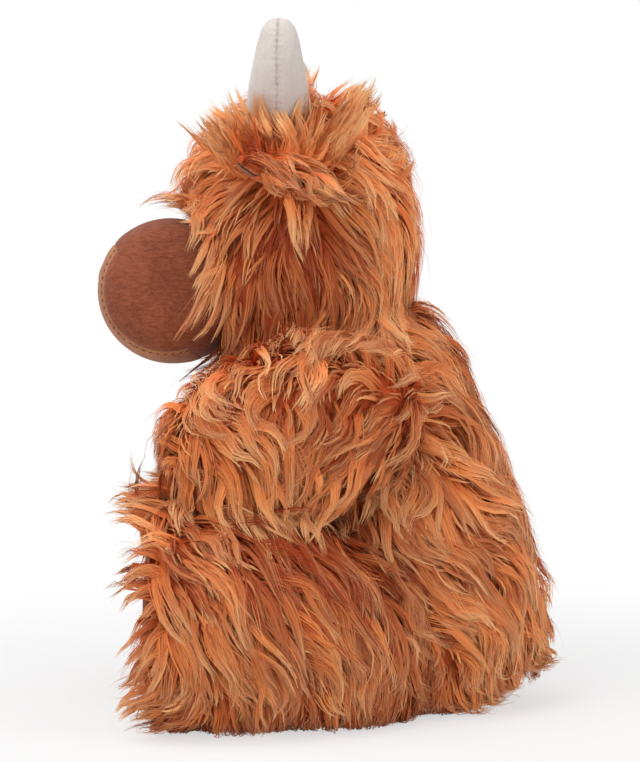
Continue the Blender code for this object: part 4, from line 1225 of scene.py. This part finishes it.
muzzle_cloths = ("muzzle_sides_cloth", "muzzle_front_panel_cloth")
muzzle_tree = search_tree([bpy.data.objects[name] for name in muzzle_cloths])
bm = bmesh.new()
for path in muzzle_seam_paths():
    stitch_row(bm, path, muzzle_tree, 0.0018, 0.0005, 0.0036)
muzzle_stitches = add_piece("muzzle_stitches", bm, dark_thread)
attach(muzzle_stitches, "head")
print("muzzle stitches", len(muzzle_stitches.data.polygons), "faces")

# %% [markdown]
# Each nostril is a patch of close satin stitches in dark thread. A patch is a sphere pressed flat and laid
# on the panel, with its stitches as waves in the bump.

# %% Nostrils
satin_thread, shader, place = new_material("satin_thread", 0.45, Sheen_Weight=0.2)
rows = place.make("ShaderNodeTexWave", None, {"Vector": place, "Scale": 260.0, "Distortion": 0.6}, 1)
feed(shader, "Base Color", rows.blend((0.030, 0.011, 0.007), (0.085, 0.034, 0.020)))
bump(shader, rows, 0.6, 0.0003)
for word, side in SIDES.items():
    low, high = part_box(f"nostril_{word}")
    place, out, _, _ = muzzle_tree.find_nearest((low + high) / 2)
    across = Vector((1, 0, 0))
    across = (across - out * across.dot(out)).normalized()
    turn = Matrix((across, out.cross(across), out)).transposed().to_4x4()
    size = Matrix.Diagonal(((high.x - low.x) / 2, (high.z - low.z) / 2, 0.0004, 1))
    bm = bmesh.new()
    matrix = Matrix.Translation(place) @ turn @ size
    bmesh.ops.create_uvsphere(bm, u_segments=40, v_segments=20, radius=1, matrix=matrix)
    for vert in bm.verts:
        height = (vert.co - place).dot(out)
        on, away, _, _ = muzzle_tree.find_nearest(vert.co - out * height)
        vert.co = on + away * height
    nostril = add_piece(f"nostril_{word}_stitches", bm, satin_thread)
    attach(nostril, "head")
    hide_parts(f"nostril_{word}")
    print(nostril.name, len(nostril.data.polygons), "faces")

# %% [markdown]
# The horns are short white plush, each sewn from a front and a back half, so a seam runs up the middle
# of the outer side, over the tip and down the inner side. The bag comes from the solid again, and the
# seam is pressed into it.

# %% Horn finish
horn_plush, shader, place = new_material("horn_plush", 0.9, Sheen_Weight=0.3, Sheen_Roughness=0.5)
horn_low, horn_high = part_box("horn_left_skin")
horn_seam = (horn_low.y + horn_high.y) / 2
nap = place.noise(900.0, 2.0, 0.6)
folds_and_fold_shade = place.noise(70.0, 2.0)
parts = [place.make("ShaderNodeSeparateXYZ", None, {"Vector": place}, axis) for axis in range(3)]
lean = (parts[2] - horn_low.z) * (0.0018 / (horn_high.z - horn_low.z))
away = (parts[1] - lean - horn_seam - (parts[2] * 160.0).sum("SINE", 0.0) * 0.0002).sum("ABSOLUTE", 0.0)
# The colour is paler where the nap and the folds rise in the bump: painted shade in their hollows.
white = (nap * 0.4 + folds_and_fold_shade * 0.6).step(0.3, 0.7).blend((0.630, 0.560, 0.515), (0.735, 0.675, 0.635))
thread = place.noise(420.0, 1.0).step(0.35, 0.6).blend((0.46, 0.38, 0.33), (0.60, 0.52, 0.47))
feed(shader, "Base Color", away.step(0.0001, 0.0011).blend(thread, white))
puckers = (parts[2] * 2400.0).sum("SINE", 0.0) * (1 - away.step(0.0, 0.0035)) * 0.35
bump(shader, nap * 0.35 + folds_and_fold_shade + puckers, 0.35, 0.0010)

# %% Horns
for word in SIDES:
    names = (f"horn_{word}_skin", f"horn_{word}_stuffing")
    horn = add_piece(f"horn_{word}_plush", merged_copy(*names), horn_plush)
    remesh(horn, 0.00105, passes=14)
    for vert in horn.data.vertices:
        away = vert.co.y - horn_seam
        rise = (vert.co.z - horn_low.z) / (horn_high.z - horn_low.z)
        vert.co -= vert.normal * 0.0004 * math.exp(-((away / 0.0010) ** 2))
        vert.co.y += 0.0018 * rise - away * 0.10 * rise
    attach(horn, "head")
    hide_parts(*names)
    print(horn.name, len(horn.data.polygons), "faces")

# %% [markdown]
# Each ear is two leaves sewn round the edge: pile cloth on top, which is done above, and velour below.
# The lining comes from its solid, finely remeshed.

# %% Ear linings
for word in SIDES:
    lining = add_piece(f"ear_{word}_lining_cloth", merged_copy(f"ear_{word}_lining"), ear_velour)
    remesh(lining, 0.0010, passes=6)
    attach(lining, f"ear_{word}")
    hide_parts(f"ear_{word}_lining")
    print("ear lining", word, len(lining.data.polygons), "faces")

# %% [markdown]
# The soles close the feet. A flat pad sewn round its rim over loose fibre bulges in the middle and is
# pulled in at the rim, so the remeshed pad is pushed out by how far each point is from that rim.


# %% Soles
def bulge_sole(sole, out_most):
    """Bulges the front of a pad: nothing at the rim, most in the middle."""
    places = coordinates(sole.data)
    low, high = places.min(0), places.max(0)
    middle, half = (low + high) / 2, (high - low) / 2
    share = np.hypot((places[:, 0] - middle[0]) / half[0], (places[:, 2] - middle[2]) / half[2])
    front = places[:, 1] < middle[1]
    rim = np.clip(1 - share**2, 0, 1)
    places[:, 1] -= np.where(front, out_most * rim**0.6 - 0.0006 * (share > 0.93), 0)
    sole.data.vertices.foreach_set("co", places.reshape(-1).astype(np.float32))
    sole.data.update()
    return middle, half


for word in SIDES:
    sole = add_piece(f"sole_{word}_pad", merged_copy(f"sole_pad_{word}"), brown_velour)
    remesh(sole, 0.0012, passes=4)
    middle, half = bulge_sole(sole, 0.0030)
    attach(sole, f"leg_{word}")
    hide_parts(f"sole_pad_{word}")
    print(sole.name, len(sole.data.polygons), "faces")

# %% [markdown]
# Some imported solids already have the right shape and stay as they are: the glossy eyes, the thread of
# the closing seam, and all that is hidden inside the bags. They still get real finishes, as every
# piece does.

# %% Finishes of the solids that stay
eye_black, shader, place = new_material("eye_black", 0.06, Coat_Weight=0.6, Coat_Roughness=0.03)
scuffs = place.noise(700.0, 3.0)
feed(shader, "Base Color", scuffs.blend((0.008, 0.006, 0.005), (0.016, 0.012, 0.010)))
feed(shader, "Roughness", scuffs * 0.10 + 0.04)

fibre, shader, place = new_material("white_fibre", 0.95, Sheen_Weight=0.3)
strands = place.noise(240.0, 5.0, 0.7)
feed(shader, "Base Color", strands.step(0.3, 0.7).blend((0.72, 0.71, 0.68), (0.90, 0.90, 0.87)))
bump(shader, strands, 0.9, 0.002)

cotton, shader, place = new_material("pouch_cotton", 0.9)
weave = place.make("ShaderNodeTexChecker", None, {"Vector": place, "Scale": 1400.0}, 1)
mixed = weave * 0.6 + place.noise(90.0) * 0.4
feed(shader, "Base Color", mixed.blend((0.66, 0.63, 0.56), (0.84, 0.82, 0.76)))
bump(shader, weave, 0.4, 0.0003)

pellets, shader, place = new_material("clear_pellets", 0.35)
cells = place.make("ShaderNodeTexVoronoi", None, {"Vector": place, "Scale": 330.0}, 0)
# Each pellet is pale in its middle and darker towards its rim, following the bump: painted shade between the
# pellets.
feed(shader, "Base Color", cells.step(0.0, 0.6).blend((0.80, 0.82, 0.86), (0.55, 0.58, 0.64)))
bump(shader, 1 - cells, 0.8, 0.002)

washer, shader, place = new_material("washer_plastic", 0.45)
feed(shader, "Base Color", place.noise(500.0).blend((0.80, 0.80, 0.80), (0.88, 0.88, 0.88)))
bump(shader, place.noise(900.0), 0.2, 0.0002)

FINISH_BY_SLOT = {
    "black_eye": eye_black,
    "stuffing_fibre": fibre,
    "pouch_cloth": cotton,
    "plastic_pellets": pellets,
    "white_washer": washer,
    "sewing_thread": dark_thread,
    "fur": underlayer,
    "brown_velour": brown_velour,
    "tan_velour": tan_velour,
    "white_plush": horn_plush,
}
for row in frame["record"]["subparts"]:
    finish = FINISH_BY_SLOT[row["material_slot"]]
    slots = nodes[row["node"]].material_slots
    for slot in slots:
        slot.material = finish

# %% [markdown]
# The last cell prints how much the dressed toy stands out beyond its imported model.

# %% Sizes and finish
dressed_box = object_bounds()
corners = zip(cad_box, dressed_box)
grown = [[round((b - a) * 1000, 1) for a, b in zip(first, second)] for first, second in corners]
print("grown by, in mm", grown)
